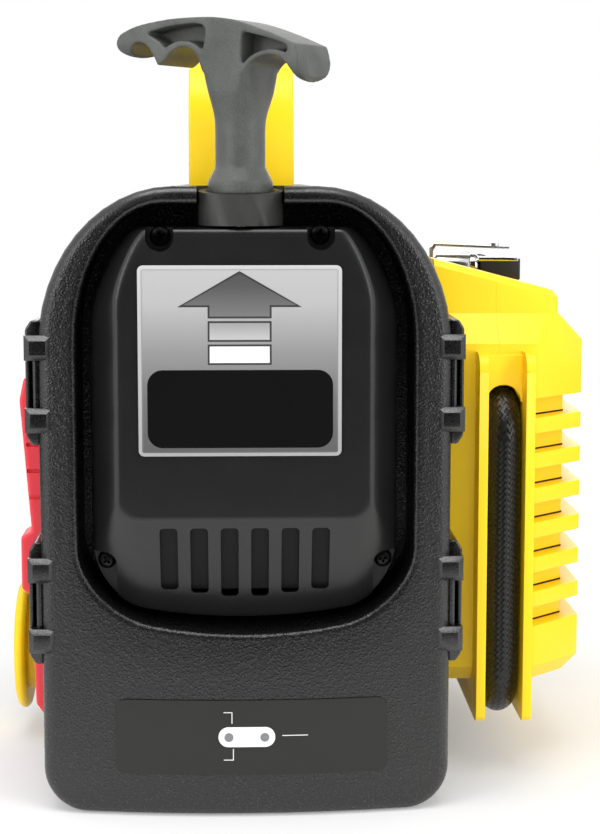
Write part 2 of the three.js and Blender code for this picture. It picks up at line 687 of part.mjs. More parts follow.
// Places on the grip: shares of its reach to either side and of its height below the crown. Two
// places in a row are a curve's control point and its end, and one is the end of a line.
const gripStartShare = [-0.98, 0.31];
const leftGripShares = [
  [[-0.88, 0.17], [-0.76, 0.243]], [[-0.62, 0.488]], [[-0.39, 0.083], [-0.17, 0.524]],
];
const rightGripShares = [
  [[0.31, 0.667]], [[0.39, 0.38], [0.66, 0.395]], [[0.88, 0.395], [0.96, 0.524]], [[1, 0.726]],
  [[1.07, 0.68]], [[1, 0.305]], [[0.27, -0.029], [-0.27, 0]], [[-0.78, 0], [-0.93, 0.119]],
  [[-1.02, 0.19], [-0.98, 0.31]],
];
const gripAt = ([across, drop]) => [
  across * (across < 0 ? grip.leftReach : grip.rightReach), grip.top - drop * grip.height,
];
const gripLow = grip.top - grip.height;
const flareZ = gripAt(leftGripShares[leftGripShares.length - 1][1])[1];
const gripShape = new THREE.Shape();
function drawGrip(table) {
  for (const [first, second] of table) {
    if (second) gripShape.quadraticCurveTo(...gripAt(first), ...gripAt(second));
    else gripShape.lineTo(...gripAt(first));
  }
}
gripShape.moveTo(...gripAt(gripStartShare));
drawGrip(leftGripShares);
gripShape.lineTo(-grip.stemRadius * half, gripLow);
gripShape.lineTo(grip.stemRadius * half, gripLow);
drawGrip(rightGripShares);
const gripBar = alongY(gripShape, -grip.depth / 2, grip.depth / 2, shoulderSteps);
// The pockets in the grip's two faces, on the same shares
const leftPocketShares = [
  [-0.7, 0.155], [-0.56, 0.333], [-0.5, 0.31], [-0.4, 0.262], [-0.27, 0.31], [-0.19, 0.381],
  [-0.19, 0.086], [-0.45, 0.09],
];
const rightPocketShares = [
  [0.27, 0.167], [0.27, 0.512], [0.42, 0.393], [0.65, 0.324], [0.86, 0.367], [0.86, 0.3],
];
const gripPocketLeft = polygon(leftPocketShares.map(gripAt));
const gripPocketRight = polygon(rightPocketShares.map(gripAt));
const pocketDepth = (grip.depth - grip.web) / 2;
const gripPockets = [gripPocketLeft, gripPocketRight].flatMap((shape) => [
  alongY(shape, -grip.depth, -grip.depth / 2 + pocketDepth),
  alongY(shape, grip.depth / 2 - pocketDepth, grip.depth),
]);
const gripStem = turned([
  [0, handleFoot], [grip.footRadius, handleFoot], [grip.footRadius, handleFoot + grip.footHeight],
  [grip.stemRadius, grip.coneTop], [grip.stemRadius, gripLow - grip.flare],
  [grip.stemRadius + grip.flare, flareZ], [0, flareZ],
], 'z', 0, 0, 0, middleRound);
const ropeSocket = rod('z', handleFoot - overrun, handleFoot + grip.socketDepth, grip.socket, 0, 0, 0,
  smallRound);
const pullHandle = cutBy(joined(gripBar, gripStem), ...gripPockets, ropeSocket)
  .rotate([0, 0, THREE.MathUtils.radToDeg(grip.turn)]).translate([rope.x, rope.y, 0]);

// The carry handle: a broad strap that arches along the case

const carryRise = 62;
const carry = {
  width: 50, x: -1.5, near: 56, top: caseHeight + carryRise, thickness: 20, postThickness: 24,
    radius: 34, innerRadius: 18,
    edge: 6,
};
const carryFar = 2 * caseMiddle - carry.near;
const carryFoot = caseHeight - bodyInset + gap;
const carryShape = new THREE.Shape();
carryShape.moveTo(carry.near, carryFoot);
carryShape.lineTo(carry.near + carry.postThickness, carryFoot);
carryShape.lineTo(carry.near + carry.postThickness, carry.top - carry.thickness - carry.innerRadius);
carryShape.absarc(carry.near + carry.postThickness + carry.innerRadius,
  carry.top - carry.thickness - carry.innerRadius, carry.innerRadius, 2 * rightAngle, rightAngle, true);
carryShape.lineTo(carryFar - carry.postThickness - carry.innerRadius, carry.top - carry.thickness);
carryShape.absarc(carryFar - carry.postThickness - carry.innerRadius,
  carry.top - carry.thickness - carry.innerRadius, carry.innerRadius, rightAngle, 0, true);
carryShape.lineTo(carryFar - carry.postThickness, carryFoot);
carryShape.lineTo(carryFar, carryFoot);
carryShape.lineTo(carryFar, carry.top - carry.radius);
carryShape.absarc(carryFar - carry.radius, carry.top - carry.radius, carry.radius, 0, rightAngle);
carryShape.lineTo(carry.near + carry.radius, carry.top);
carryShape.absarc(carry.near + carry.radius, carry.top - carry.radius, carry.radius, rightAngle,
  2 * rightAngle);
const carrySection = alongY(roundedBox(
  carry.x - carry.width / 2, carry.x + carry.width / 2, carryFoot - overrun, carry.top, carry.edge,
), carry.near - overrun, carryFar + overrun);
const carryHandle = alongX(carryShape, carry.x - carry.width / 2, carry.x + carry.width / 2, shoulderSteps)
  .intersect(carrySection);

// The compressor module

const moduleInner = bodyHalf + gap;
const moduleWidth = 75.7;
const upperWidth = 62.2;
const innerShellWidth = 30.7;
const module = {
  inner: moduleInner, near: 62, outer: moduleInner + moduleWidth, chamfer: 26, bottom: 43,
    footChamfer: 8, top: 211.5,
  upperNear: 75, upperOuter: moduleInner + upperWidth, ledgeTop: 225.5, ridgeHeight: 252,
    ridgeFall: 0.26, crown: 3,
  parting: moduleInner + innerShellWidth, wall: 3,
};
const channelWidth = 18.2;
const channelInset = 7;
const channelLeft = module.parting - channelInset;
const channel = { left: channelLeft, right: channelLeft + channelWidth, flangeWidth: 4.4,
  flangeFront: 45, flangeBottom: 27,
  flangeTop: 208,
  recess: 5, slotTop: 192.5, slotDepth: 40 };
const fin = { grooves: 7, pitch: 17.3, height: 9.7, top: 184.8, depth: 8.5 };

// A plan outline of the module: square to the case, chamfered on its outer corners.
function modulePlan(near, outer, chamfer, inset) {
  const far = 2 * caseMiddle - near;
  return [
    [module.inner, near + inset], [outer - chamfer, near + inset], [outer - inset, near + chamfer],
    [outer - inset, far - chamfer], [outer - chamfer, far - inset], [module.inner, far - inset],
  ];
}
const upperChamfer = 6;
const ridgeZ = (x) => module.ridgeHeight - (x - module.inner) * module.ridgeFall;
const planRing = (plan, z) => plan.map(([x, y]) => new THREE.Vector3(x, y, z(x)));
const moduleRings = [
  planRing(modulePlan(module.near, module.outer, module.chamfer, module.footChamfer), () => module.bottom),
  planRing(modulePlan(module.near, module.outer, module.chamfer, 0),
    () => module.bottom + module.footChamfer),
  planRing(modulePlan(module.near, module.outer, module.chamfer, 0), () => module.top),
  planRing(modulePlan(module.upperNear, module.upperOuter, upperChamfer, 0), () => module.ledgeTop),
  planRing(modulePlan(module.upperNear, module.upperOuter, upperChamfer, 0), (x) => ridgeZ(x) - module.crown),
  planRing(modulePlan(module.upperNear, module.upperOuter, upperChamfer, module.crown), ridgeZ),
];
const moduleMiddleX = between(module.inner, module.upperOuter, half);
const moduleBlock = skinned(
  moduleRings, new THREE.Vector3(moduleMiddleX, caseMiddle, module.bottom),
  new THREE.Vector3(moduleMiddleX, caseMiddle, ridgeZ(moduleMiddleX)),
);
const flangeFar = 2 * caseMiddle - channel.flangeFront;
const flangeProfile = roundedBox(
  channel.flangeFront, flangeFar, channel.flangeBottom, channel.flangeTop, channel.recess,
);
const flange = (x0) => alongX(flangeProfile, x0, x0 + channel.flangeWidth);
const flanges = joined(flange(channel.left - channel.flangeWidth), flange(channel.right));
const grooveCuts = [];
for (let i = 0; i < fin.grooves; i += 1) {
  const top = fin.top - i * fin.pitch;
  const low = top - fin.height;
  const outerPlan = polygon([
    ...modulePlan(module.near, module.outer + overrun, module.chamfer, -overrun)]);
  const keptPlan = polygon(modulePlan(module.near + fin.depth, module.outer - fin.depth,
    module.chamfer - fin.depth * half, 0));
  grooveCuts.push(alongZ(outerPlan, low, top).subtract(alongZ(keptPlan, low, top))
    .subtract(block(0, channel.right + channel.flangeWidth, 0, flangeFar + overrun, low, top)));
}
const channelShape = (near, depth, low, top, radius) => {
  const middle = between(channel.left, channel.right, half);
  const side = (channel.right - channel.left) / 2;
  const shape = new THREE.Shape();
  shape.moveTo(middle - side, low);
  shape.lineTo(middle + side, low);
  shape.lineTo(middle + side, top - radius);
  shape.absarc(middle, top - radius, radius, 0, 2 * rightAngle);
  return alongY(shape, near, near + depth);
};
const slotRadius = (channel.right - channel.left) / 2;
const nearChannel = channelShape(module.near - overrun, overrun + channel.recess, 0, channel.slotTop,
  slotRadius);
const hoseDoor = channelShape(module.near - overrun, overrun + channel.slotDepth,
  channel.slotTop - 2 * slotRadius, channel.slotTop, slotRadius);
const moduleCavity = skinned(
  [
    planRing(modulePlan(module.near + fin.depth + module.wall, module.outer - fin.depth - module.wall,
      module.chamfer - fin.depth, 0), () => module.bottom + module.footChamfer)
      .map((p) => p.setX(Math.max(p.x, module.inner + module.wall))),
    planRing(modulePlan(module.near + fin.depth + module.wall, module.outer - fin.depth - module.wall,
      module.chamfer - fin.depth, 0), () => module.top - module.wall)
      .map((p) => p.setX(Math.max(p.x, module.inner + module.wall))),
  ],
  new THREE.Vector3(module.parting, caseMiddle, module.bottom + module.footChamfer),
  new THREE.Vector3(module.parting, caseMiddle, module.top - module.wall),
);

// The chuck's cradle in the module's sloping top
const hoseOffset = 1.5;
const hose = {
  radius: 7.3, x: module.parting + hoseOffset, near: 56, under: 35.2, bend: 20, startY: 98, startZ: 180,
    topRun: 246, chuckY: 160,
  sides: 9, bendSteps: 5,
};
const cradleReach = 23.5;
const cradle = { near: 122, right: module.parting + cradleReach };
const cradleFar = hose.chuckY + gap;
const cradleFloor = hose.topRun - hose.radius - gap;
const cradleCut = block(
  module.inner - wall, cradle.right, cradle.near, cradleFar, cradleFloor, module.ridgeHeight + overrun,
);
const moduleWhole = cutBy(
  joined(moduleBlock, flanges), ...grooveCuts, nearChannel, mirrored(nearChannel), hoseDoor,
  moduleCavity, cradleCut,
);
const innerHalf = block(module.inner, module.parting - gap / 2, 0, flangeFar + overrun, 0, caseHeight);
const outerHalf = block(module.parting + gap / 2, module.outer + overrun, 0, flangeFar + overrun, 0,
  caseHeight);

// The air hose

const hoseFar = 2 * caseMiddle - hose.near;
const hoseRoute = new THREE.CurvePath();
const hosePoint = (y, z, x = hose.x) => new THREE.Vector3(x, y, z);
const bendShare = 0.5523;
function hoseBend(from, corner, to) {
  hoseRoute.add(new THREE.CubicBezierCurve3(
    from, from.clone().lerp(corner, bendShare), to.clone().lerp(corner, bendShare), to,
  ));
}
const hoseLine = (from, to) => hoseRoute.add(new THREE.LineCurve3(from, to));
const corners = [
  hosePoint(hose.near, hose.startZ), hosePoint(hose.near, hose.under),
  hosePoint(hoseFar, hose.under), hosePoint(hoseFar, hose.topRun),
];
let hoseAt = hosePoint(hose.startY, hose.startZ);
corners.forEach((corner, i) => {
  const before = hoseAt;
  const after = corners[i + 1] || hosePoint(hose.chuckY, hose.topRun);
  const enter = corner.clone().add(before.clone().sub(corner).setLength(hose.bend));
  const leave = corner.clone().add(after.clone().sub(corner).setLength(hose.bend));
  hoseLine(before, enter);
  hoseBend(enter, corner, leave);
  hoseAt = leave;
});
hoseLine(hoseAt, hosePoint(hose.chuckY, hose.topRun));

// A round section carried along the route on a frame that stays upright to it.
function pipeAlong(route, radius, sides, stepsPerBend) {
  const rings = [];
  const across = new THREE.Vector3(1, 0, 0);
  route.curves.forEach((curve, n) => {
    const steps = curve.isLineCurve3 ? 1 : stepsPerBend;
    for (let i = n === 0 ? 0 : 1; i <= steps; i += 1) {
      const at = curve.getPoint(i / steps);
      const ahead = curve.getTangent(i / steps);
      const up = new THREE.Vector3().crossVectors(ahead, across).normalize();
      rings.push(Array.from({ length: sides }, (_, k) => {
        const angle = (k / sides) * fullTurn;
        return at.clone().addScaledVector(across, radius * Math.cos(angle))
          .addScaledVector(up, radius * Math.sin(angle));
      }));
    }
  });
  const first = route.curves[0].getPoint(0);
  const last = route.curves[route.curves.length - 1].getPoint(1);
  return skinned(rings, first, last);
}
const airHose = pipeAlong(hoseRoute, hose.radius, hose.sides, hose.bendSteps);
const hoseReliefs = pipeAlong(hoseRoute, hose.radius + gap, hose.sides, hose.bendSteps);

// The chuck parked on the module

const chuckInset = 5.7;
const barrelLength = 19;
const chuckLength = 45;
const leverLength = 39.5;
const studPlace = 32.5;
const chuckLeft = module.inner + chuckInset;
const chuck = {
  barrelRadius: 6, chamfer: 1.5, gripHalf: 7, gripCorner: 2.5, left: chuckLeft,
  joint: chuckLeft + barrelLength, right: chuckLeft + chuckLength,
  y: 139, lever: 1.2, leverWidth: 9, leverZ: 256.5, leverRight: chuckLeft + leverLength, leverFall: 1.6,
    pivotZ: 250,
};
const chuckZ = hose.topRun;
const chuckBarrel = turned([
  [0, chuck.left], [chuck.barrelRadius - chuck.chamfer, chuck.left],
  [chuck.barrelRadius, chuck.left + chuck.chamfer],
  [chuck.barrelRadius, chuck.joint - gap], [0, chuck.joint - gap],
], 'x', 0, chuck.y, chuckZ, middleRound);
const chuckGrip = joined(
  alongX(roundedBox(
    chuck.y - chuck.gripHalf, chuck.y + chuck.gripHalf, chuckZ - chuck.gripHalf, chuckZ + chuck.gripHalf,
    chuck.gripCorner,
  ), chuck.joint, chuck.right),
  rod('y', chuck.y + chuck.gripHalf / 2, hose.chuckY - gap, hose.radius, hose.x, 0, hose.topRun),
);
// The chuck's lever: a bent strip hinged at the barrel's end, with a stud on it
const leverSeat = chuck.left - gap;
const leverEnd = chuck.leverZ - chuck.leverFall;
const leverSide = polygon([
  [chuck.leverRight, leverEnd], [chuck.leverRight, leverEnd + chuck.lever],
  [chuck.left, chuck.leverZ + chuck.lever], [leverSeat - chuck.lever, chuck.leverZ - chuck.lever],
  [leverSeat - chuck.lever, chuck.pivotZ - chuck.lever], [leverSeat, chuck.pivotZ - chuck.lever],
  [leverSeat, chuck.leverZ - 2 * chuck.lever], [chuck.left + chuck.lever, chuck.leverZ],
]);
const leverStud = { x: chuck.left + studPlace, radius: 2, rise: 2.6 };
const chuckLever = joined(
  alongY(leverSide, chuck.y - chuck.leverWidth / 2, chuck.y + chuck.leverWidth / 2),
  rod('z', chuck.leverZ - chuck.lever, chuck.leverZ - chuck.lever + leverStud.rise, leverStud.radius,
    leverStud.x, chuck.y, 0, smallRound),
);

// The compressor lies on a shelf of the inner shell.
const motorOffset = 2.5;
const motorStart = 44;
const motorEnd = 12;
const compressor = {
  motorRadius: 18, motorNear: caseMiddle - motorStart, motorFar: caseMiddle + motorEnd,
    x: module.parting + motorOffset, shelfZ: 92, shelf: 4,
    pumpHalf: 17, pumpHeight: 50,
  pumpDepth: 36, headFins: 4, finCut: 2.5,
};
const motorZ = compressor.shelfZ + compressor.motorRadius;
const compressorMotor = joined(
  rod('y', compressor.motorNear, compressor.motorFar - wall, compressor.motorRadius, compressor.x, 0, motorZ),
  rod('y', compressor.motorFar - 2 * wall, compressor.motorFar, compressor.motorRadius / 2, compressor.x,
    0, motorZ, smallRound),
);
const pumpNear = compressor.motorFar + gap;
const pumpBlock = block(compressor.x - compressor.pumpHalf, compressor.x + compressor.pumpHalf,
  pumpNear, pumpNear + compressor.pumpDepth, compressor.shelfZ, compressor.shelfZ + compressor.pumpHeight);
const pumpCuts = [];
for (let i = 0; i < compressor.headFins; i += 1) {
  const z = compressor.shelfZ + compressor.pumpHeight - (i + 1) * 2 * compressor.finCut;
  const ring = block(compressor.x - compressor.pumpHalf - wall, compressor.x + compressor.pumpHalf + wall,
    pumpNear - wall, pumpNear + compressor.pumpDepth + wall, z, z + compressor.finCut);
  const core = block(compressor.x - compressor.pumpHalf + wall, compressor.x + compressor.pumpHalf - wall,
    pumpNear + wall, pumpNear + compressor.pumpDepth - wall, z, z + compressor.finCut);
  pumpCuts.push(ring.subtract(core));
}
const compressorPump = cutBy(pumpBlock, ...pumpCuts);
const compressorShelf = block(module.inner + wall / 2, module.parting - gap / 2, compressor.motorNear,
  pumpNear + compressor.pumpDepth, compressor.shelfZ - gap - compressor.shelf, compressor.shelfZ - gap);

// Inside the body: battery and circuit board

const battery = { width: 77, length: batteryLength, height: 160, roomShare: 0.1163, terminal: 6,
  terminalHeight: 7,
  lidHeight: 8, lidInset: 1.5 };
const boardParts = {
  chokeRadius: 11, chokeDepth: 14, chokeShares: [0.25, 0.3], sinkDepth: 20, sinkHeight: 34, sinkWidth: 50,
};
const boardFace = boardX - board.thickness;
const bayInside = bayFloor + wall;
const batterySpare = boardFace - boardParts.sinkDepth - bayInside - battery.width;
const batteryLeft = bayInside + batterySpare * battery.roomShare;
const batteryFloor = bodyInset + wall + gap;
const batteryNear = caseMiddle - battery.length / 2;
const batteryFar = caseMiddle + battery.length / 2;
const batteryTop = batteryFloor + battery.height;
const batterySolid = joined(
  block(batteryLeft, batteryLeft + battery.width, batteryNear, batteryFar, batteryFloor,
    batteryTop - battery.lidHeight),
  block(batteryLeft + battery.lidInset, batteryLeft + battery.width - battery.lidInset,
    batteryNear + battery.lidInset, batteryFar - battery.lidInset, batteryTop - battery.lidHeight - wall,
      batteryTop),
  ...[batteryNear, batteryFar].map((end) => {
    const y = between(end, caseMiddle, 0.2);
    return rod('z', batteryTop - wall, batteryTop + battery.terminalHeight, battery.terminal,
      batteryLeft + battery.width / 4, y, 0, smallRound);
  }),
);
const boardMiddleY = between(board.near, board.far, half);
const boardMiddleZ = between(board.bottom, board.top, half);
const circuitBoard = joined(
  block(boardFace, boardX, board.near, board.far, board.bottom, board.top),
  rod('x', boardFace - boardParts.chokeDepth, boardFace + gap, boardParts.chokeRadius, 0,
    between(board.near, board.far, boardParts.chokeShares[0]),
    between(board.bottom, board.top, boardParts.chokeShares[1])),
  block(boardFace - boardParts.sinkDepth, boardFace + gap, boardMiddleY, boardMiddleY + boardParts.sinkWidth,
    boardMiddleZ, boardMiddleZ + boardParts.sinkHeight),
);

// The console on the left side

const panelBack = -bodyHalf - gap;
const panelFront = panelBack - consoleSize.thickness;
const gaugeDrop = 34;
const socketRise = 26;
const rockerRise = 38;
const buttonRise = 18.5;
const gauge = { y: -24, z: consoleSize.top - gaugeDrop, radius: 19, bezel: 22, bezelDepth: 4, depth: 14,
  dialDepth: 5, lens: 1.2,
  needle: 0.8,
  needleLength: 14, needleWidth: 1.6, hubRadius: 2.4, lip: 1, zeroTurn: 45 };
const light = { y: 24, z: consoleSize.top - gaugeDrop, radius: 18.5, bezel: 3, dome: 3.5 };
const socket = { y: -24, z: consoleSize.bottom + socketRise, radius: 13.5, flange: 17, flangeDepth: 2.2,
  bore: 10.5, boreDepth: 34,
  depth: 38 };
const rocker = { width: 13, height: 22, depth: 8, proud: 2.4,
  z: consoleSize.bottom + rockerRise, lightY: 8, compressorY: 33,
  clearance: 0.6, restTurn: -8,
};
const testButton = { y: 20.5, z: consoleSize.bottom + buttonRise, radius: 6, proud: 2.5, flange: 7.5,
  flangeDepth: 1.5, travel: 2,
  clearance: 0.3 };
const atY = (offset) => caseMiddle + offset;

const panelShape = roundedBox(consoleNear, consoleFar, consoleSize.bottom, consoleSize.top,
  consoleSize.radius);
const panelHole = (y, z, radius) => rod('x', panelFront - overrun, panelBack + overrun, radius, 0, atY(y), z);
const rockerHole = (y) => block(panelFront - overrun, panelBack + overrun,
  atY(y) - rocker.width / 2 - rocker.clearance, atY(y) + rocker.width / 2 + rocker.clearance,
  rocker.z - rocker.height / 2 - rocker.clearance, rocker.z + rocker.height / 2 + rocker.clearance);
const lightBezel = rod('x', panelFront - light.bezel, panelFront + gap, light.radius + light.bezel, 0,
  atY(light.y), light.z);
const buttonGuard = rod('x', panelBack - gap, panelBack + testButton.travel + testButton.flangeDepth + gap,
  testButton.flange + wall, 0, atY(testButton.y), testButton.z)
  .subtract(rod('x', panelBack - overrun, panelBack + overrun, testButton.flange + testButton.clearance, 0,
    atY(testButton.y), testButton.z));
const consolePanel = cutBy(
  joined(alongX(panelShape, panelFront, panelBack), lightBezel, buttonGuard),
  panelHole(gauge.y, gauge.z, gauge.radius + gap), panelHole(light.y, light.z, light.radius + gap),
  panelHole(socket.y, socket.z, socket.radius + gap),
  rod('x', panelFront - overrun, panelBack + gap, testButton.radius + testButton.clearance, 0,
    atY(testButton.y), testButton.z),
  rockerHole(rocker.lightY), rockerHole(rocker.compressorY),
);

// Pressure gauge: a cup with a bezel, its needle and its glass
const bezelFront = panelFront - gap - gauge.bezelDepth;
const dialRadius = gauge.radius - gauge.lip;
const gaugeBody = turned([
  [0, bezelFront + gauge.dialDepth + gauge.depth], [gauge.radius, bezelFront + gauge.dialDepth + gauge.depth],
  [gauge.radius, panelFront - gap], [gauge.bezel, panelFront - gap], [gauge.bezel, bezelFront],
  [dialRadius, bezelFront], [dialRadius, bezelFront + gauge.dialDepth], [0, bezelFront + gauge.dialDepth],
], 'x', 0, atY(gauge.y), gauge.z, largeRound);
const gaugeLens = rod('x', bezelFront + gap, bezelFront + gap + gauge.lens, dialRadius - gap, 0,
  atY(gauge.y), gauge.z, largeRound);
const needleBack = bezelFront + gauge.dialDepth - gap;
const gaugeNeedle = joined(
  rod('x', needleBack - gauge.needle * 2, needleBack, gauge.hubRadius, 0, 0, 0, smallRound),
  block(needleBack - gauge.needle * 2, needleBack - gauge.needle, -gauge.needleWidth / 2,
    gauge.needleWidth / 2, -gauge.needleLength, 0),
).rotate([gauge.zeroTurn, 0, 0]).translate([0, atY(gauge.y), gauge.z]);
// Work light: a lens that bulges out of its bezel
const lensBack = panelBack;
const lensFront = panelFront - light.bezel;
const domeShares = [[1, 0], [0.75, 0.6], [0.4, 0.92], [0, 1]];
const workLightLens = turned([
  [0, lensBack], [light.radius, lensBack],
  ...domeShares.map(([out, rise]) => [light.radius * out, lensFront - light.dome * rise]),
], 'x', 0, atY(light.y), light.z, largeRound);
// Power socket with a hinged cap
const socketFront = panelFront - gap - socket.flangeDepth;
const powerSocket = turned([
  [socket.bore, socketFront], [socket.flange, socketFront], [socket.flange, panelFront - gap],
  [socket.radius, panelFront - gap], [socket.radius, socketFront + socket.depth],
    [0, socketFront + socket.depth],
  [0, socketFront + socket.boreDepth], [socket.bore, socketFront + socket.boreDepth],
    [socket.bore, socketFront],
], 'x', 0, atY(socket.y), socket.z, middleRound);
const cap = { thickness: 2.4, plugRadius: 9.4, plugDepth: 3, hingeRise: 4, hingeRadius: 2, hingeLength: 14 };
const capBack = socketFront - gap;
const hingeZ = socket.z + socket.flange + cap.hingeRise;
const socketCap = joined(
  rod('x', capBack - cap.thickness, capBack, socket.flange, 0, atY(socket.y), socket.z),
  rod('x', capBack - gap, capBack + cap.plugDepth, cap.plugRadius, 0, atY(socket.y), socket.z),
  block(capBack - cap.thickness, capBack, atY(socket.y) - cap.hingeLength / 2,
    atY(socket.y) + cap.hingeLength / 2,
    socket.z, hingeZ),
  rod('y', atY(socket.y) - cap.hingeLength / 2, atY(socket.y) + cap.hingeLength / 2, cap.hingeRadius,
    capBack - cap.hingeRadius + gap, 0, hingeZ, smallRound),
);
// Rockers turn about a line across the panel's face and rest with their lower end pressed in.
function rockerAt(y) {
  const top = rocker.z + rocker.height / 2;
  const foot = rocker.z - rocker.height / 2;
  const side = polygon([
    [panelFront - rocker.proud, top], [panelFront - rocker.proud / 2, rocker.z],
    [panelFront - rocker.proud, foot], [panelFront + rocker.depth / 2, foot + rocker.proud],
    [panelFront + rocker.depth, rocker.z], [panelFront + rocker.depth / 2, top - rocker.proud],
  ]);
  return alongY(side, atY(y) - rocker.width / 2, atY(y) + rocker.width / 2)
    .translate([-panelFront, 0, -rocker.z]).rotate([0, rocker.restTurn, 0])
    .translate([panelFront, 0, rocker.z]);
}
const batteryTestButton = joined(
  rod('x', panelFront - testButton.proud, panelBack + 2 * gap, testButton.radius, 0, atY(testButton.y),
    testButton.z),
  rod('x', panelBack + gap, panelBack + gap + testButton.flangeDepth, testButton.flange, 0,
    atY(testButton.y), testButton.z),
);

// Battery switch: a broad disc on a neck, turned on a ring below the console
const dialReach = 25.5;
const dial = { z: 45, y: 1, ring: 26, ringDepth: 4.5, neck: 22, disc: 32, discThick: 5.4,
  outerX: bodyHalf + dialReach,
  rim: 1.8, dish: 2, bar: 5, dishRadius: 27 };
const ringFront = -bodyHalf - gap - dial.ringDepth;
const batterySwitchBody = rod('x', ringFront, -bodyHalf - gap, dial.ring, 0, atY(dial.y), dial.z, largeRound);
const dialDish = rod('x', -dial.outerX - overrun, -dial.outerX + dial.dish, dial.dishRadius, 0,
  atY(dial.y), dial.z, largeRound)
  .subtract(block(-dial.outerX - overrun, 0, atY(dial.y) - dial.bar, atY(dial.y) + dial.bar, 0, springLine));
const batterySwitchKnob = turned([
  [0, ringFront - gap], [dial.neck, ringFront - gap], [dial.neck, -dial.outerX + dial.discThick],
  [dial.disc - dial.rim, -dial.outerX + dial.discThick],
    [dial.disc, -dial.outerX + dial.discThick - dial.rim],
  [dial.disc, -dial.outerX + dial.rim], [dial.disc - dial.rim, -dial.outerX], [0, -dial.outerX],
], 'x', 0, atY(dial.y), dial.z, largeRound).subtract(dialDish);

// The clamps in their bays

// One lever, drawn outward from the clamp's middle line and up from its pivot.
function clampLever(side) {
  const c = clamp;
  const x = (u) => c.axisX - side * u;
  const z = (v) => c.pivotZ + v;
  const hubSide = c.hubRadius + c.hubClear;
  const hubReach = hubSide + c.hubOverlap;
  const inner = c.reach - c.handleThick;
  const profile = polygon([
    [x(c.jawBack), z(-c.jaw)], [x(c.tipWidth), z(-c.jaw)], [x(c.waist - c.tipDraw), z(-c.jaw * 0.9)],
    [x(c.waist), z(-c.jaw * 0.22)], [x(c.reach), z(-c.jaw * 0.16)], [x(c.reach), z(c.handle * 0.14)],
    [x(c.waist), z(c.handle * 0.17)], [x(c.reach - c.heelDraw), z(c.handle * 0.86)],
    [x(c.reach - c.noseDraw), z(c.handle * 0.97)], [x(c.reach - c.noseReach), z(c.handle)],
    [x(inner), z(c.handle * 0.96)], [x(inner - c.innerDraw), z(c.handle * 0.64)],
    [x(hubSide), z(c.handle * 0.2)], [x(hubSide), z(-c.jaw * 0.2)], [x(c.jawBack), z(-c.jaw * 0.42)],
  ]);
  const low = bayMiddle - c.width / 2;
  const high = bayMiddle + c.width / 2;
  const bands = side > 0
    ? [[low, low + c.earWidth], [high - c.earWidth, high]]
    : [[low + c.earWidth + c.hubGap, high - c.earWidth - c.hubGap]];
  const hubs = bands.flatMap(([y0, y1]) => [
    rod('y', y0, y1, c.hubRadius, c.axisX, 0, c.pivotZ, middleRound),
    block(Math.min(x(0), x(hubReach)), Math.max(x(0), x(hubReach)), y0, y1,
      c.pivotZ - c.hubRadius * 0.7, c.pivotZ + c.hubRadius * 0.7),
  ]);
  return cutBy(
    joined(alongY(profile, low, high), ...hubs),
    rod('y', low - overrun, high + overrun, c.pinRadius + gap, c.axisX, 0, c.pivotZ, smallRound),
  );
}
const clampPin = rod('y', bayMiddle - clamp.width / 2, bayMiddle + clamp.width / 2, clamp.pinRadius,
  clamp.axisX, 0, clamp.pivotZ, smallRound);
// A toothed jaw plate lines each lever's jaw.
function jawPlate(side) {
  const back = clamp.jawBack - clamp.plateGap;
  const front = back - clamp.plate;
  const length = clamp.jaw * 0.5;
  const points = [[back, -clamp.jaw], [back, -clamp.jaw + length]];
  for (let i = 0; i < clamp.teeth; i += 1) {
    const z = -clamp.jaw + length * (1 - i / clamp.teeth);
    points.push([front, z], [front + clamp.toothDepth, z - length / clamp.teeth * half]);
  }
  points.push([front, -clamp.jaw]);
  return alongY(polygon(points.map(([u, v]) => [clamp.axisX - side * u, clamp.pivotZ + v])),
    bayMiddle - clamp.width / 2 + wall / 2, bayMiddle + clamp.width / 2 - wall / 2);
}

// Assembly

const root = new THREE.Group();

function finish(color, roughness, metalness = 0) {
  return { color, roughness, metalness };
}
const finishes = {
  blackPlastic: finish(0x1b1b1c, 0.6),
  coverPlastic: finish(0x2c2e2c, 0.5),
  greyPlastic: finish(0x5f615f, 0.55),
  yellowPlastic: finish(0xffd60a, 0.4),
  redPlastic: finish(0xc8282d, 0.4),
  braid: finish(0x2a2a2c, 0.85),
  steel: finish(0xb8babd, 0.3, 1),
  label: finish(0xb9bdbe, 0.35, 0.4),
  darkLabel: finish(0x3c3d3d, 0.5),
  white: finish(0xeeeeea, 0.4),
  lampGrey: finish(0xc2c5c6, 0.3),
  copper: finish(0xa8643a, 0.4, 0.8),
  board: finish(0x1e5b33, 0.6),
};

function addPiece(name, solid, look) {
  const mesh = new THREE.Mesh(geometryOf(solid), new THREE.MeshStandardMaterial(finishes[look]));
  mesh.name = name;
  root.add(mesh);
}

addPiece('main_body', mainBody, 'blackPlastic');
addPiece('near_end_cover', nearCover, 'blackPlastic');
addPiece('far_end_cover', farCover, 'blackPlastic');
for (const [side, sideName] of [[-1, 'left'], [1, 'right']]) {
  for (const [middle, level] of [[clip.upperMiddle, 'upper'], [clip.lowerMiddle, 'lower']]) {
    const made = coverClip(side, middle);
    addPiece(`near_clip_${sideName}_${level}`, made, 'blackPlastic');
    addPiece(`far_clip_${sideName}_${level}`, mirrored(made), 'blackPlastic');
  }
}
addPiece('generator_cover', generatorCover, 'coverPlastic');
addPiece('generator_base', generatorBase, 'blackPlastic');
addPiece('rope_reel', ropeReel, 'greyPlastic');
addPiece('generator_rotor', rotorBody, 'steel');
addPiece('generator_stator', statorRing, 'copper');
addPiece('starter_rope', ropeSolid, 'braid');
addPiece('rope_collar', ropeCollar, 'greyPlastic');
addPiece('pull_label_plate', labelPlate, 'label');
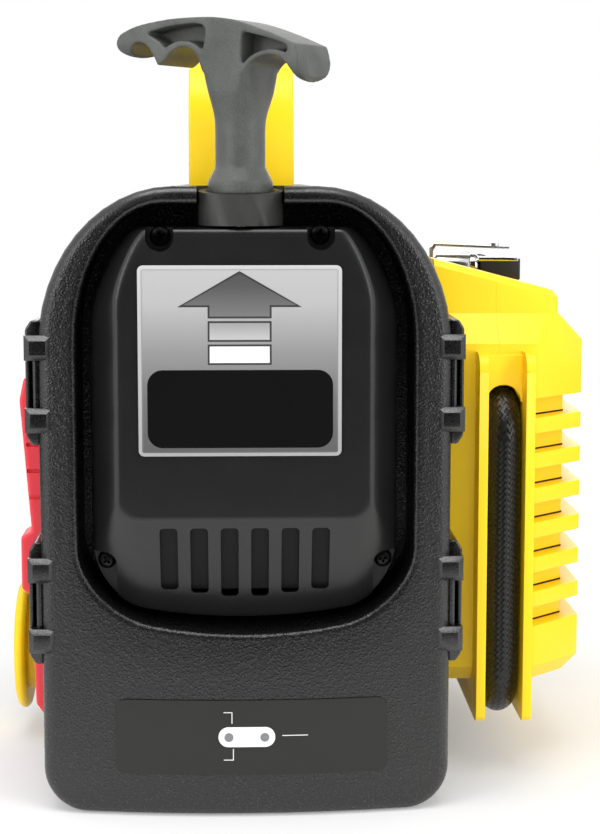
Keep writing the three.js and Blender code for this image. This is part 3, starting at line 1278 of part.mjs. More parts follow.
addPiece('indicator_label', indicatorLabel, 'darkLabel');
addPiece('indicator_window', indicatorWindow, 'white');
addPiece('polarity_lamp', indicatorLamp(-1), 'lampGrey');
addPiece('charge_lamp', indicatorLamp(1), 'lampGrey');
addPiece('pull_handle', pullHandle, 'greyPlastic');
addPiece('carry_handle', carryHandle, 'yellowPlastic');
addPiece('module_inner_shell',
  moduleWhole.intersect(innerHalf).subtract(hoseReliefs).add(compressorShelf), 'yellowPlastic');
addPiece('module_outer_shell', moduleWhole.intersect(outerHalf).subtract(hoseReliefs), 'yellowPlastic');
addPiece('air_hose', airHose, 'braid');
addPiece('chuck_barrel', chuckBarrel, 'steel');
addPiece('chuck_grip', chuckGrip, 'blackPlastic');
addPiece('chuck_lever', chuckLever, 'steel');
addPiece('compressor_motor', compressorMotor, 'steel');
addPiece('compressor_pump', compressorPump, 'steel');
addPiece('battery', batterySolid, 'blackPlastic');
addPiece('circuit_board', circuitBoard, 'board');
addPiece('console_panel', consolePanel, 'blackPlastic');
addPiece('gauge_body', gaugeBody, 'blackPlastic');
addPiece('gauge_needle', gaugeNeedle, 'redPlastic');
addPiece('gauge_lens', gaugeLens, 'lampGrey');
addPiece('work_light_lens', workLightLens, 'lampGrey');
addPiece('power_socket', powerSocket, 'blackPlastic');
addPiece('socket_cap', socketCap, 'blackPlastic');
addPiece('light_switch', rockerAt(rocker.lightY), 'redPlastic');
addPiece('compressor_switch', rockerAt(rocker.compressorY), 'redPlastic');
addPiece('battery_test_button', batteryTestButton, 'greyPlastic');
addPiece('battery_switch_body', batterySwitchBody, 'blackPlastic');
addPiece('battery_switch_knob', batterySwitchKnob, 'yellowPlastic');
for (const [name, place, look] of [['red', (s) => s, 'redPlastic'], ['black', mirrored, 'blackPlastic']]) {
  addPiece(`${name}_clamp_outer_lever`, place(clampLever(1)), look);
  addPiece(`${name}_clamp_inner_lever`, place(clampLever(-1)), look);
  addPiece(`${name}_clamp_pivot`, place(clampPin), 'steel');
  addPiece(`${name}_clamp_outer_jaw`, place(jawPlate(1)), 'copper');
  addPiece(`${name}_clamp_inner_jaw`, place(jawPlate(-1)), 'copper');
}

// The origin lies on the floor, under the middle of the whole part.
const extent = new THREE.Box3().setFromObject(root);
const middle = extent.getCenter(new THREE.Vector3());
root.position.set(-middle.x, -middle.y, -extent.min.z);

export default root;
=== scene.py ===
# %% [markdown]
# # A jump starter with a pull-rope generator
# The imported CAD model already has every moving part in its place. This lesson gives it the
# look of the real thing: moulded plastic with soft edges and a leather grain, a braided air
# hose, chrome, printed plates and small screws. The model is loaded as a fixed frame, and
# each new piece is made where the CAD says and then rides on one of its bodies.

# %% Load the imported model
import json
import math

import bmesh
import bpy
from mathutils import Matrix, Vector
from mathutils.geometry import interpolate_bezier

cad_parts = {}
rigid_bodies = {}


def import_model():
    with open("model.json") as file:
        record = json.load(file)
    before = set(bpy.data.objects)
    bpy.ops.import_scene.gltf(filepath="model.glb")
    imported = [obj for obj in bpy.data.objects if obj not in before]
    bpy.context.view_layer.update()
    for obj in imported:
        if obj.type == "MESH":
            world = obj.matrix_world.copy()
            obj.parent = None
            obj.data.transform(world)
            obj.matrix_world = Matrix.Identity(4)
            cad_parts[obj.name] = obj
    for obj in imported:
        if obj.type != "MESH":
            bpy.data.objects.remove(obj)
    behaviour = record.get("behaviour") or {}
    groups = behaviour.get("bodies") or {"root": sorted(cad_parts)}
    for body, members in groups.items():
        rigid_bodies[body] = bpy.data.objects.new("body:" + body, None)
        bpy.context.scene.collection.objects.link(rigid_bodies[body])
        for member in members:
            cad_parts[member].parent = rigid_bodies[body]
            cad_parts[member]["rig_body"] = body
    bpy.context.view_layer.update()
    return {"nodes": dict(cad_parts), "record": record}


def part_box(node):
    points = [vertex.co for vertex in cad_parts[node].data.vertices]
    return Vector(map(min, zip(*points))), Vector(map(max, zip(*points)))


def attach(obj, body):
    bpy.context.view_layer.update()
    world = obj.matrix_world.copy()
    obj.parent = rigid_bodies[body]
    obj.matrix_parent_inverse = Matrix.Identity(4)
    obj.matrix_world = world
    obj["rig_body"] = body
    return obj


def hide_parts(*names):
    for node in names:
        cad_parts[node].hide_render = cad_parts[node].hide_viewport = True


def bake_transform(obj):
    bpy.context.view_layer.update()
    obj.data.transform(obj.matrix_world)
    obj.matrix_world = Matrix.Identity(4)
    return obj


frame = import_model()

# %% [markdown]
# The drawings of the case are in millimetres from the middle of its near cover, whose rim
# plane is Y = 0 and whose foot is Z = 0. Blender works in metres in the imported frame, so one
# matrix carries every finished mesh to its place.

# %% One matrix from the drawing to the frame
MM = 0.001
FACE_BULGE = 10.0
cover_low, cover_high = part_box("near_end_cover")
drawing_origin = Vector((
    (cover_low.x + cover_high.x) / 2, cover_low.y + FACE_BULGE * MM, 0.0,
))
TO_FRAME = Matrix.Translation(drawing_origin) @ Matrix.Scale(MM, 4)
TO_DRAWING = TO_FRAME.inverted()


def node_box(node):
    """A CAD node's lowest and highest corners in the drawing's millimetres."""
    return [TO_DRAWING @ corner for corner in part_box(node)]


print("drawing origin, m:", [round(c, 5) for c in drawing_origin])

# %% [markdown]
# ## Helpers for shapes
# A moulded case is drawn as outlines: corner points, each with its own setback before and
# after it. The arc at a corner is a Bezier curve, which gives a round corner or a shoulder
# that is taller than it is wide. Every outline of one family has the same count of points,
# so rings of it can be skinned by extruding a ring of edges and moving each new point to its
# place on the next ring.

# %% Outlines and skins
ROUND = 0.5523
QUARTER = math.pi / 2


def outline(corners, steps=8, spans=6):
    """Points in X and Z. A corner is (x, z, setback before, setback after, roundness)."""
    points = []
    for k, (x, z, before, after, *bend) in enumerate(corners):
        bend = bend[0] if bend else ROUND
        here = Vector((x, 0, z))
        last = Vector((corners[k - 1][0], 0, corners[k - 1][1]))
        nxt = corners[(k + 1) % len(corners)]
        ahead = Vector((nxt[0], 0, nxt[1]))
        enter = here + (last - here).normalized() * before
        leave = here + (ahead - here).normalized() * after
        if before or after:
            points += interpolate_bezier(
                enter, enter.lerp(here, bend), leave.lerp(here, bend), leave, steps + 1)
        else:
            points.append(here)
        far = ahead + (here - ahead).normalized() * nxt[2]
        points += [leave.lerp(far, i / spans) for i in range(1, spans)]
    return [Vector(p) for p in points]


def skin(rings, cap_start=True, cap_end=True):
    """A bmesh over rings of equal count."""
    bm = bmesh.new()
    ring = [bm.verts.new(p) for p in rings[0]]
    edges = [bm.edges.new((a, b)) for a, b in zip(ring, ring[1:] + ring[:1])]
    if cap_start:
        bm.faces.new(ring)
    for places in rings[1:]:
        made = bmesh.ops.extrude_edge_only(bm, edges=edges)["geom"]
        fresh = {v for v in made if isinstance(v, bmesh.types.BMVert)}
        ring = [
            next(e.other_vert(v) for e in v.link_edges if e.other_vert(v) in fresh)
            for v in ring
        ]
        for vert, place in zip(ring, places):
            vert.co = place
        edges = [bm.edges.get((a, b)) for a, b in zip(ring, ring[1:] + ring[:1])]
    if cap_end:
        bm.faces.new(ring)
    bmesh.ops.recalc_face_normals(bm, faces=bm.faces)
    return bm


def at_depth(points, depth):
    """An outline's points moved to a depth, which may be a function of X."""
    return [Vector((p.x, depth(p.x) if callable(depth) else depth, p.z)) for p in points]


def slab(points, near, far):
    """An outline run along Y from near to far."""
    return skin([at_depth(points, near), at_depth(points, far)])


def box_outline(x0, x1, z0, z1, radius=0.0, steps=4, spans=1):
    return outline([
        (x0, z0, radius, radius), (x1, z0, radius, radius),
        (x1, z1, radius, radius), (x0, z1, radius, radius),
    ], steps, spans)


print("points of a rounded square:", len(box_outline(0, 10, 0, 10, radius=2)))

# %% [markdown]
# Round parts are spun from a profile, and boxes are stretched from a cube. Each helper takes
# a bmesh and gives it back, so that a shape can be made, turned and moved in one line.

# %% Round shapes, boxes and small moves
def turned(profile, steps=40, axis="Z"):
    """A profile of (radius, place) points spun about an axis through the drawing's origin."""
    bm = bmesh.new()
    verts = [bm.verts.new((r, 0, h)) for r, h in profile]
    edges = [bm.edges.new(pair) for pair in zip(verts, verts[1:])]
    bmesh.ops.spin(
        bm, geom=verts + edges, cent=(0, 0, 0), axis=(0, 0, 1), dvec=(0, 0, 0),
        angle=math.tau, steps=steps, use_merge=True, use_duplicate=False)
    bmesh.ops.remove_doubles(bm, verts=bm.verts, dist=1e-4)
    if axis != "Z":
        swung(bm, QUARTER, "X" if axis == "Y" else "Y")
    bmesh.ops.recalc_face_normals(bm, faces=bm.faces)
    return bm


def moved(bm, x=0.0, y=0.0, z=0.0):
    bmesh.ops.translate(bm, verts=bm.verts, vec=(x, y, z))
    return bm


def swung(bm, angle, axis):
    """A shape turned about an axis through the drawing's origin."""
    bmesh.ops.rotate(bm, verts=bm.verts, matrix=Matrix.Rotation(angle, 3, axis))
    return bm


def stretched(bm, x=1.0, y=1.0, z=1.0):
    bmesh.ops.scale(bm, vec=(x, y, z), verts=bm.verts)
    return bm


def block(x0, x1, y0, y1, z0, z1):
    """A box between two corners, made to be rounded or cut."""
    bm = bmesh.new()
    bmesh.ops.create_cube(bm, size=1)
    stretched(bm, x1 - x0, y1 - y0, z1 - z0)
    return moved(bm, (x0 + x1) / 2, (y0 + y1) / 2, (z0 + z1) / 2)


def merged(first, *others):
    """Several closed shapes in one bmesh."""
    for other in others:
        mesh = bpy.data.meshes.new("part")
        other.to_mesh(mesh)
        other.free()
        first.from_mesh(mesh)
        bpy.data.meshes.remove(mesh)
    return first


disc = turned([(0, 0), (5, 0), (5, 1), (0, 1)])
print("faces of a spun disc:", len(disc.faces))
disc.free()

# %% [markdown]
# Pockets, vents and screw seats are cut with Blender's Boolean modifier, as the core of a
# mould keeps them open. The modifier is applied at once, so that a bevel or a smooth shade
# can follow it.

# %% Cutting and joining solids
def as_object(bm, name="part"):
    mesh = bpy.data.meshes.new(name)
    bm.to_mesh(mesh)
    bm.free()
    made = bpy.data.objects.new(name, mesh)
    bpy.context.scene.collection.objects.link(made)
    return made


def applied(thing):
    """The mesh that an object's modifiers make, as a bmesh. The object is removed."""
    bpy.context.view_layer.update()
    graph = bpy.context.evaluated_depsgraph_get()
    bm = bmesh.new()
    mesh = bpy.data.meshes.new_from_object(thing.evaluated_get(graph))
    bm.from_mesh(mesh)
    bpy.data.meshes.remove(mesh)
    base = thing.data
    bpy.data.objects.remove(thing)
    bpy.data.meshes.remove(base)
    return bm


def combined(operation, bm, tools, solver="MANIFOLD"):
    """bm joined with, cut by or kept inside each tool."""
    for tool in tools:
        whole, part = as_object(bm), as_object(tool)
        cut = whole.modifiers.new("cut", "BOOLEAN")
        cut.operation, cut.solver, cut.object = operation, solver, part
        bm = applied(whole)
        mesh = part.data
        bpy.data.objects.remove(part)
        bpy.data.meshes.remove(mesh)
    return bm


def cut_by(bm, *tools):
    return combined("DIFFERENCE", bm, tools)


def joined_with(bm, *tools):
    return combined("UNION", bm, tools)


print("cutting and joining ready")

# %% [markdown]
# A finished piece is smooth where its faces meet at a small angle and sharp where they meet
# at a large one. Moulded edges are never quite sharp, so a piece with straight edges also
# carries a Bevel modifier, with normals hardened to the flat faces.

# %% Finishing a piece
def finish_piece(name, bm, material, body, slot=None, replaces=(), sharp=38.0, bevel=None):
    """Places a bmesh as a piece that rides on a body. bevel is (width in mm, segments, limit)."""
    bmesh.ops.transform(bm, matrix=TO_FRAME, verts=bm.verts)
    piece = as_object(bm, name)
    piece.data.materials.clear()
    piece.data.materials.append(material)
    piece.data.polygons.foreach_set("material_index", [0] * len(piece.data.polygons))
    piece.data.shade_smooth()
    if bevel:
        add_bevel(piece, *bevel)
    else:
        piece.data.set_sharp_from_angle(angle=math.radians(sharp))
    if body:
        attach(piece, body)
    if replaces:
        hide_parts(*replaces)
    return piece


def add_bevel(piece, width, segments=2, limit=35.0):
    soft = piece.modifiers.new("soft edges", "BEVEL")
    soft.width, soft.segments = width * MM, segments
    soft.limit_method, soft.angle_limit = "ANGLE", math.radians(limit)
    soft.harden_normals = True
    soft.miter_outer = "MITER_ARC"


# %% [markdown]
# A bevel made in the mesh can skip some edges, which a modifier can't. Where a solid is too
# rough to bevel, it is rebuilt from small voxels and relaxed, so that every edge comes out
# round and every inner corner is filled a little.

# %% Rounding in the mesh
def rounded(bm, width, segments=3, limit=30.0, wanted=None):
    """Rounds the edges that turn more than a limit, or the wanted ones among them."""
    edges = [e for e in bm.edges if len(e.link_faces) == 2
             and e.calc_face_angle(0) > math.radians(limit) and (wanted is None or wanted(e))]
    bmesh.ops.bevel(
        bm, geom=edges, offset=width, offset_type="OFFSET", segments=segments, profile=0.5,
        affect="EDGES", clamp_overlap=True, material=-1, miter_outer="ARC")
    return bm


def remeshed(bm, voxel, relaxing):
    """A soft moulding of a rough solid: every edge is rounded and every corner filled."""
    rough = as_object(bm)
    remesh = rough.modifiers.new("remesh", "REMESH")
    remesh.mode, remesh.voxel_size = "VOXEL", voxel
    relax = rough.modifiers.new("relax", "SMOOTH")
    relax.factor, relax.iterations = 0.5, relaxing
    return applied(rough)


cushion = rounded(block(0, 10, 0, 10, 0, 10), 2.0)
print("faces of a rounded block:", len(cushion.faces))
cushion.free()

# %% [markdown]
# A CAD node comes as loose triangles. Its copy is merged and its flat faces are made whole
# again, so that only true edges are rounded, and then the copy stands for the node.

# %% Copies of CAD nodes
def node_mesh(node):
    """A merged copy of a CAD node in the drawing's millimetres."""
    bm = bmesh.new()
    bm.from_mesh(frame["nodes"][node].data)
    bmesh.ops.remove_doubles(bm, verts=bm.verts, dist=2e-6)
    bmesh.ops.dissolve_limit(
        bm, angle_limit=math.radians(1.0), verts=bm.verts, edges=bm.edges)
    bmesh.ops.transform(bm, matrix=TO_DRAWING, verts=bm.verts)
    return bm


def softened(node, material, width, segments=2, limit=35.0, slot=None):
    """A CAD node with its moulded edges rounded."""
    source = frame["nodes"][node]
    return finish_piece(
        "soft_" + node, node_mesh(node), material, source["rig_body"], slot, [node],
        bevel=(width, segments, limit))


print("case height, mm:", round(node_box("near_end_cover")[1].z, 1))

# %% [markdown]
# ## Helpers for finishes
# Shader maths reads best as ordinary expressions, so a small class wraps a socket, and its
# operators add Math nodes.

# %% Shader maths
class Field:
    """A number that varies over a surface."""

    def __init__(self, finish, socket):
        self.finish, self.socket = finish, socket

    def maths(self, operation, *values):
        return self.finish.read("Math", {"operation": operation}, dict(enumerate(values)), 0)

    def __add__(self, other):
        return self.maths("ADD", self, other)

    def __sub__(self, other):
        return self.maths("SUBTRACT", self, other)

    def __rsub__(self, other):
        return self.maths("SUBTRACT", other, self)

    def __mul__(self, other):
        return self.maths("MULTIPLY", self, other)

    def __truediv__(self, other):
        return self.maths("DIVIDE", self, other)

    def __rtruediv__(self, other):
        return self.maths("DIVIDE", other, self)

    __radd__ = __add__
    __rmul__ = __mul__

    def at_most(self, other):
        return self.maths("MINIMUM", self, other)

    def at_least(self, other):
        return self.maths("MAXIMUM", self, other)

    def whole(self):
        return self.maths("FLOOR", self)

    def fraction(self):
        return self.maths("FRACT", self)

    def sine(self):
        return self.maths("SINE", self)


print("shader maths ready")

# %% [markdown]
# A finish is a material. The numbers that are the same all over it are set on the shader
# itself, and what varies over the surface is linked from the node tree. Every node but the
# Math ones comes from one method, which sets its settings first and then its sockets.

# %% A finish and its nodes
class Finish:
    """A material whose nodes all come from one method."""

    def __init__(self, name, fixed):
        self.material = bpy.data.materials.new(name)
        self.material.use_nodes = True
        self.tree = self.material.node_tree
        self.shader = self.tree.nodes["Principled BSDF"]
        self.give(self.shader, fixed)

    def give(self, node, sockets):
        for key, value in sockets.items():
            socket = node.inputs[key]
            if isinstance(value, Field):
                self.tree.links.new(value.socket, socket)
            else:
                socket.default_value = value

    def node(self, kind, settings, sockets):
        made = self.tree.nodes.new("ShaderNode" + kind)
        for key, value in settings.items():
            if key == "stops":
                ramp = made.color_ramp
                while len(ramp.elements) < len(value):
                    ramp.elements.new(0.5)
                for element, (place, colour) in zip(ramp.elements, value):
                    element.position, element.color = place, colour
            else:
                setattr(made, key, value)
        self.give(made, sockets)
        return made

    def read(self, kind, settings, sockets, output):
        return Field(self, self.node(kind, settings, sockets).outputs[output])

    def surface(self, **inputs):
        """Feeds the shader: base_color=..., roughness=... and so on."""
        self.give(self.shader, {k.replace("_", " ").title(): v for k, v in inputs.items()})
        return self

    def bump(self, height, depth, strength=1.0):
        """Feeds the shader's normal from a height of 0 to 1 and a depth in millimetres."""
        raised = self.read("Bump", {}, {
            "Height": height, "Distance": depth * MM, "Strength": strength}, "Normal")
        return self.surface(normal=raised)

    def place(self):
        return self.read("TexCoord", {}, {}, "Object")

    def noise(self, size, detail=2.0, roughness=0.5, vector=None):
        """Noise with features of a size in millimetres."""
        return self.read("TexNoise", {}, {
            "Vector": vector or self.place(), "Scale": 1 / (size * MM), "Detail": detail,
            "Roughness": roughness}, "Fac")

    def cells(self, size, vector, feature="F1"):
        """Voronoi cells of a size in millimetres."""
        return self.read("TexVoronoi", {"feature": feature}, {
            "Vector": vector, "Scale": 1 / (size * MM)}, "Distance")

    def mixed(self, mask, low, high):
        """A colour between two colours."""
        return self.read("Mix", {"data_type": "RGBA"}, {
            "Factor": mask, 6: low, 7: high}, 2)


def linear(red, green, blue):
    """A colour written in screen values, 0 to 255, as the shader wants it."""
    def one(value):
        value /= 255
        return value / 12.92 if value <= 0.04045 else ((value + 0.055) / 1.055) ** 2.4
    return (one(red), one(green), one(blue), 1.0)


def shade(colour, factor):
    return (*[min(1.0, c * factor) for c in colour[:3]], 1.0)


print("middle grey:", [round(c, 3) for c in linear(128, 128, 128)[:3]])

# %% [markdown]
# ## The finishes
# Most of the object is injection-moulded plastic. Its colour is nearly even, with a faint
# cloudiness, and its surface has a fine spark-eroded grain that breaks up the reflections.
# The end covers have a coarser leather grain: small pebbles with narrow valleys between
# them, which is what Voronoi cells look like once their edges are shaken by a little noise.

# %% Moulded plastics
def moulded(name, colour, rough, grain, depth, level=0.5, cloud=0.08, **fixed):
    """Plastic with an even fine grain. grain and depth are in millimetres."""
    finish = Finish(name, {"Specular IOR Level": level, **fixed})
    clouds = finish.noise(18.0, 3.0)
    fine = finish.noise(grain, 2.0, 0.6)
    tone = clouds * 0.6 + fine * 0.4
    finish.surface(
        base_color=finish.mixed(
            (tone - 0.5) * 2.0 + 0.5, shade(colour, 1 - cloud), shade(colour, 1 + cloud)),
        roughness=(fine - 0.5) * 0.16 + rough,
    )
    return finish.bump(fine, depth).material


FADE_SHARE = 0.85


def leather(name, colour, rough, pebble, depth, level, fades=None):
    """Plastic with a leather grain, with painted highlights on the pebble tops and painted shade
    in the valleys between them.

    Between the two heights of fades, in metres, the grain thins out by FADE_SHARE."""
    finish = Finish(name, {"Specular IOR Level": level})
    here = finish.place()
    shake = finish.read("TexNoise", {}, {
        "Vector": here, "Scale": 1 / (pebble * MM), "Detail": 1.0}, "Color")
    shaken = finish.read("VectorMath", {"operation": "MULTIPLY_ADD"}, {
        0: shake, 1: (pebble * MM * 0.9,) * 3, 2: here}, 0)
    pebbles = finish.cells(pebble, shaken)
    fine = finish.noise(pebble * 0.4, 2.0, 0.6)
    clouds = finish.noise(26.0, 3.0)
    tops = 1 - (pebbles * 1.5).at_most(1.0)
    # Painted highlights on the pebble tops and painted shade in the valleys, with a faint random
    # tone from the clouds.
    painted_highlight_and_tone = (tops * fine * 1.7 - 0.42) * 2.0 + (clouds - 0.5) * 0.3
    finish.surface(
        base_color=finish.mixed(painted_highlight_and_tone, shade(colour, 0.25), shade(colour, 9.0)),
        roughness=pebbles * 0.25 + rough,
    )
    relief = tops + fine * 0.4
    if fades:
        start, end = fades
        height = finish.read("SeparateXYZ", {}, {"Vector": here}, "Z")
        share = ((height - start) / (end - start)).at_least(0.0).at_most(1.0)
        relief = relief * (1 - share * FADE_SHARE)
    return finish.bump(relief, depth).material


BLACK = (0.0044, 0.0044, 0.0041, 1.0)
CHARCOAL = (0.0085, 0.0093, 0.0086, 1.0)
grained_black = leather("grained_black", BLACK, 0.19, 1.15, 0.12, 0.80, (0.262, 0.284))
clip_black = leather("clip_black", BLACK, 0.18, 0.8, 0.02, 0.90)
plain_black = moulded("plain_black", BLACK, 0.28, 0.6, 0.020, 0.50, cloud=0.3)
charcoal = moulded("charcoal", CHARCOAL, 0.30, 0.45, 0.030, 0.60, cloud=0.25)
collar_grey = moulded("collar_grey", linear(46, 47, 45), 0.48, 0.6, 0.06, 0.45, cloud=0.3)
handle_grey = moulded("handle_grey", linear(76, 78, 75), 0.44, 0.9, 0.10, 0.45, cloud=0.45)
yellow = moulded("yellow", linear(255, 213, 26), 0.38, 0.7, 0.006, 0.35, cloud=0.015)
clamp_red = moulded("clamp_red", linear(232, 58, 70), 0.36, 0.7, 0.006, 0.45, cloud=0.03)
grip_black = moulded("grip_black", linear(30, 30, 30), 0.45, 0.5, 0.015, 0.4)
vent_dark = moulded("vent_dark", CHARCOAL, 0.5, 0.5, 0.01, 0.2)
# A near-black finish for the painted shadow in the fins' air slots.
slot_shadow_black = moulded("slot_shadow_black", (0.004, 0.004, 0.004, 1.0), 0.6, 0.5, 0.01, 0.2)
print("moulded finishes made")

# %% [markdown]
# Metal parts: chrome on the chuck, plated steel on the lever and the screws, copper in the
# windings. Bare metal is never even: fine lapping marks and faint smudges change its
# roughness, so a noise that is stretched along the part feeds the roughness.

# %% Metals
def metal(name, colour, rough, marks=0.25, depth=0.004):
    finish = Finish(name, {"Metallic": 1.0})
    smudges = finish.noise(9.0, 3.0)
    stretched = finish.read("Mapping", {}, {
        "Vector": finish.place(), "Scale": (0.1, 1.0, 1.0)}, 0)
    lines = finish.noise(marks, 2.0, 0.5, stretched)
    finish.surface(
        base_color=finish.mixed(smudges, shade(colour, 0.9), colour),
        roughness=smudges * 0.12 + lines * 0.08 + rough,
    )
    return finish.bump(lines, depth).material


chrome = metal("chrome", (0.72, 0.73, 0.74, 1.0), 0.06)
steel = metal("steel", (0.50, 0.50, 0.49, 1.0), 0.20)
copper = metal("copper", (0.78, 0.36, 0.20, 1.0), 0.30, depth=0.02)
black_screw = metal("black_screw", (0.035, 0.035, 0.036, 1.0), 0.28)
print("metals made")

# %% [markdown]
# The air hose is covered with a braid of dark yarn. Two families of strands run round it
# in opposite screws and pass over and under each other. On the hose's own UV map, one
# strand family is the sum of the two directions and the other is their difference, and a
# checker of the two says which is on top.

# %% Braided yarn
def braided(name, colour, around, along, depth, rough=0.42):
    """around is the count of strands in each family, along the count in a UV unit."""
    finish = Finish(name, {"Specular IOR Level": 0.45})
    uv = finish.read("TexCoord", {}, {}, "UV")
    split = finish.node("SeparateXYZ", {}, {0: uv})
    u, v = Field(finish, split.outputs[0]), Field(finish, split.outputs[1])
    right = u * around + v * along
    left = u * around - v * along
    over = ((right.whole() + left.whole()) * 0.5).fraction() * 2
    right_hump, left_hump = [(side.fraction() * math.pi).sine() for side in (right, left)]
    height = right_hump * over + left_hump * (1 - over)
    threads = finish.noise(0.35, 2.0)
    # The colour follows the height: painted shade in the grooves between strands and painted
    # light on their tops, with a random thread tone.
    tone = height * 0.75 + threads * 0.25
    finish.surface(
        base_color=finish.mixed(tone, shade(colour, 0.35), shade(colour, 1.6)),
        roughness=threads * 0.2 + rough,
    )
    return finish.bump(height + threads * 0.3, depth).material


hose_braid = braided("hose_braid", linear(20, 20, 18), 18, 18, 0.16, 0.20)
rope_braid = braided("rope_braid", linear(190, 188, 180), 5, 5, 0.20, 0.7)
print("braids made")

# %% [markdown]
# The printed plates are flat colour under a clear film, with gradients that run down the
# plate. A gradient on Object coordinates stays with the plate when the part moves, and a
# faint fine noise keeps it from looking like a screen.

# %% Printed plates
def graded(name, bottom_z, top_z, stops, rough=0.28, metallic=0.0, **fixed):
    """A colour that changes with height, between two heights in millimetres."""
    finish = Finish(name, {"Specular IOR Level": 0.4, "Metallic": metallic, **fixed})
    split = finish.node("SeparateXYZ", {}, {0: finish.place()})
    share = (Field(finish, split.outputs[2]) - bottom_z * MM) / ((top_z - bottom_z) * MM)
    dots = finish.noise(0.3, 1.0)
    ramp = finish.read(
        "ValToRGB", {"stops": [(place, linear(g, g, g)) for place, g in stops]},
        {"Fac": share + (dots - 0.5) * 0.05}, "Color")
    finish.surface(base_color=ramp, roughness=dots * 0.08 + rough)
    return finish.bump(dots, 0.004).material


plate_silver = graded("plate_silver", 168, 253, [
    (0.0, 82), (0.30, 98), (0.55, 128), (0.80, 160), (1.0, 166)])
plate_rim = graded("plate_rim", 168, 253, [(0.0, 150), (1.0, 178)], 0.25)
plate_line = graded("plate_line", 168, 253, [(0.0, 92), (1.0, 150)], 0.3)
arrow_ink = graded("arrow_ink", 224, 252, [(0.0, 126), (0.25, 104), (0.7, 76), (1.0, 66)])
first_bar_ink = graded("first_bar_ink", 218, 229, [(0.0, 176), (1.0, 132)])
second_bar_ink = graded("second_bar_ink", 208, 219, [(0.0, 222), (1.0, 200)])
outline_ink = moulded("outline_ink", linear(52, 53, 54), 0.3, 0.4, 0.002)
panel_ink = moulded("panel_ink", linear(15, 15, 16), 0.24, 0.4, 0.002, 0.25)
label_dark = moulded("label_dark", linear(31, 31, 29), 0.36, 0.4, 0.006, 0.45)
leader_ink = moulded("leader_ink", linear(214, 216, 212), 0.4, 0.4, 0.002)
window_white = moulded("window_white", linear(226, 233, 230), 0.30, 0.8, 0.002, cloud=0.02)
print("plates finished")

# %% [markdown]
# The lens of the work light and the gauge glass are clear plastic. Lamps are small grey
# domes while they are off.

# %% Clear plastic and the last finishes
def clear(name, tint, rough):
    finish = Finish(name, {
        "Transmission Weight": 1.0, "IOR": 1.46, "Specular IOR Level": 0.5})
    dust = finish.noise(4.0, 3.0)
    finish.surface(
        base_color=finish.mixed(dust, tint, shade(tint, 0.96)), roughness=dust * 0.06 + rough)
    return finish.bump(dust, 0.002).material


gauge_glass = clear("gauge_glass", (0.97, 0.98, 0.98, 1.0), 0.02)
light_lens = clear("light_lens", (0.93, 0.95, 0.96, 1.0), 0.06)
lamp_grey = moulded("lamp_grey", linear(122, 122, 124), 0.25, 0.6, 0.003)
board_green = moulded("board_green", linear(22, 84, 48), 0.4, 0.5, 0.01)
battery_grey = moulded("battery_grey", linear(58, 60, 64), 0.5, 0.6, 0.02)
dial_white = moulded("dial_white", linear(236, 236, 230), 0.45, 0.6, 0.002, cloud=0.01)
print("finishes in all:", len(bpy.data.materials))

# %% [markdown]
# ## The case covers
# Each end of the case is a deep cover with an arched outline. Its face bulges across its
# width, a rounded rim runs all round it, and on the near end a deep pocket with a soft edge
# holds the generator. It could be cut from a block, but the soft edge follows the bulge, so
# the whole shell is skinned from rings: pocket floor, pocket wall, soft edge, face, rim,
# outer wall, and back inside.

# %% Outlines of the case and the pocket
CASE_HALF, CASE_HEIGHT, RIM = 94.0, 288.0, 5.0
COVER_DEPTH, COVER_WALL = 44.7, 3.0
CORNER, SHOULDER_X, SHOULDER_Z = 20.0, 62.0, 74.0
POCKET_HALF, POCKET_TOP, POCKET_FOOT, POCKET_FLOOR = 76.5, 280.0, 97.5, 38.0
POCKET_BOW, POCKET_EDGE = 12.2, 2.8
POCKET_CORNER, POCKET_SHOULDER = (34, 26), (40, 62)
FACE_WALL, CASE_BACK = 6.5, 280.0


def dome(x):
    """How far the face of a cover stands out of the rim's plane."""
    return FACE_BULGE * max(0.0, 1 - (x / CASE_HALF) ** 2)


def arch(inset):
    side, top = CASE_HALF - inset, CASE_HEIGHT - inset
    corner, across, up = CORNER - inset, SHOULDER_X - inset, SHOULDER_Z - inset
    return outline([
        (-side, inset, corner, corner), (side, inset, corner, corner),
        (side, top, up, across), (-side, top, across, up),
    ], 12, 8)


def pocket(grow):
    """The pocket's outline, with a foot that bows down. Setbacks are (across, up)."""
    side, top, foot = POCKET_HALF + grow, POCKET_TOP + grow, POCKET_FOOT - grow
    (low_across, low_up), (across, up) = POCKET_CORNER, [s + grow for s in POCKET_SHOULDER]
    points = outline([
        (-side, foot, low_up, low_across), (side, foot, low_across, low_up),
        (side, top, up, across), (-side, top, across, up),
    ], 12, 8)
    for p in points:
        if p.z < foot + low_up:
            p.z -= POCKET_BOW * max(0.0, 1 - (p.x / side) ** 2)
    return points


def between(first, second, share):
    return [a.lerp(b, share) for a, b in zip(first, second)]


def on_face(drop=0.0):
    """The depth of the domed face at X, set back by a drop."""
    return lambda x: drop - dome(x)


print("points of the case outline:", len(arch(0)), "of the pocket:", len(pocket(0)))

# %% [markdown]
# The rim and the pocket's edge are quarter rounds, so their rings come from a sine and a
# cosine, and each ring takes its depth from the bulge at its own X. The near cover goes from
# the pocket's floor to the rim, round the outer wall and back inside to the pocket's wall.

# %% The near cover
RIM_STEPS, EDGE_STEPS = 6, 5


def rim_rings(steps=RIM_STEPS):
    """The rounded rim, from the face to the outer wall."""
    for i in range(steps + 1):
        angle = math.radians(90 * (1 - i / steps))
        yield at_depth(arch(RIM * (1 - math.cos(angle))), on_face(RIM * (1 - math.sin(angle))))


def outside_rings():
    """The outer wall and its back edge."""
    back_edge = 0.6
    return [
        at_depth(arch(0), COVER_DEPTH - back_edge), at_depth(arch(back_edge), COVER_DEPTH),
        at_depth(arch(COVER_WALL), COVER_DEPTH),
        at_depth(arch(COVER_WALL), on_face(FACE_WALL)),
    ]


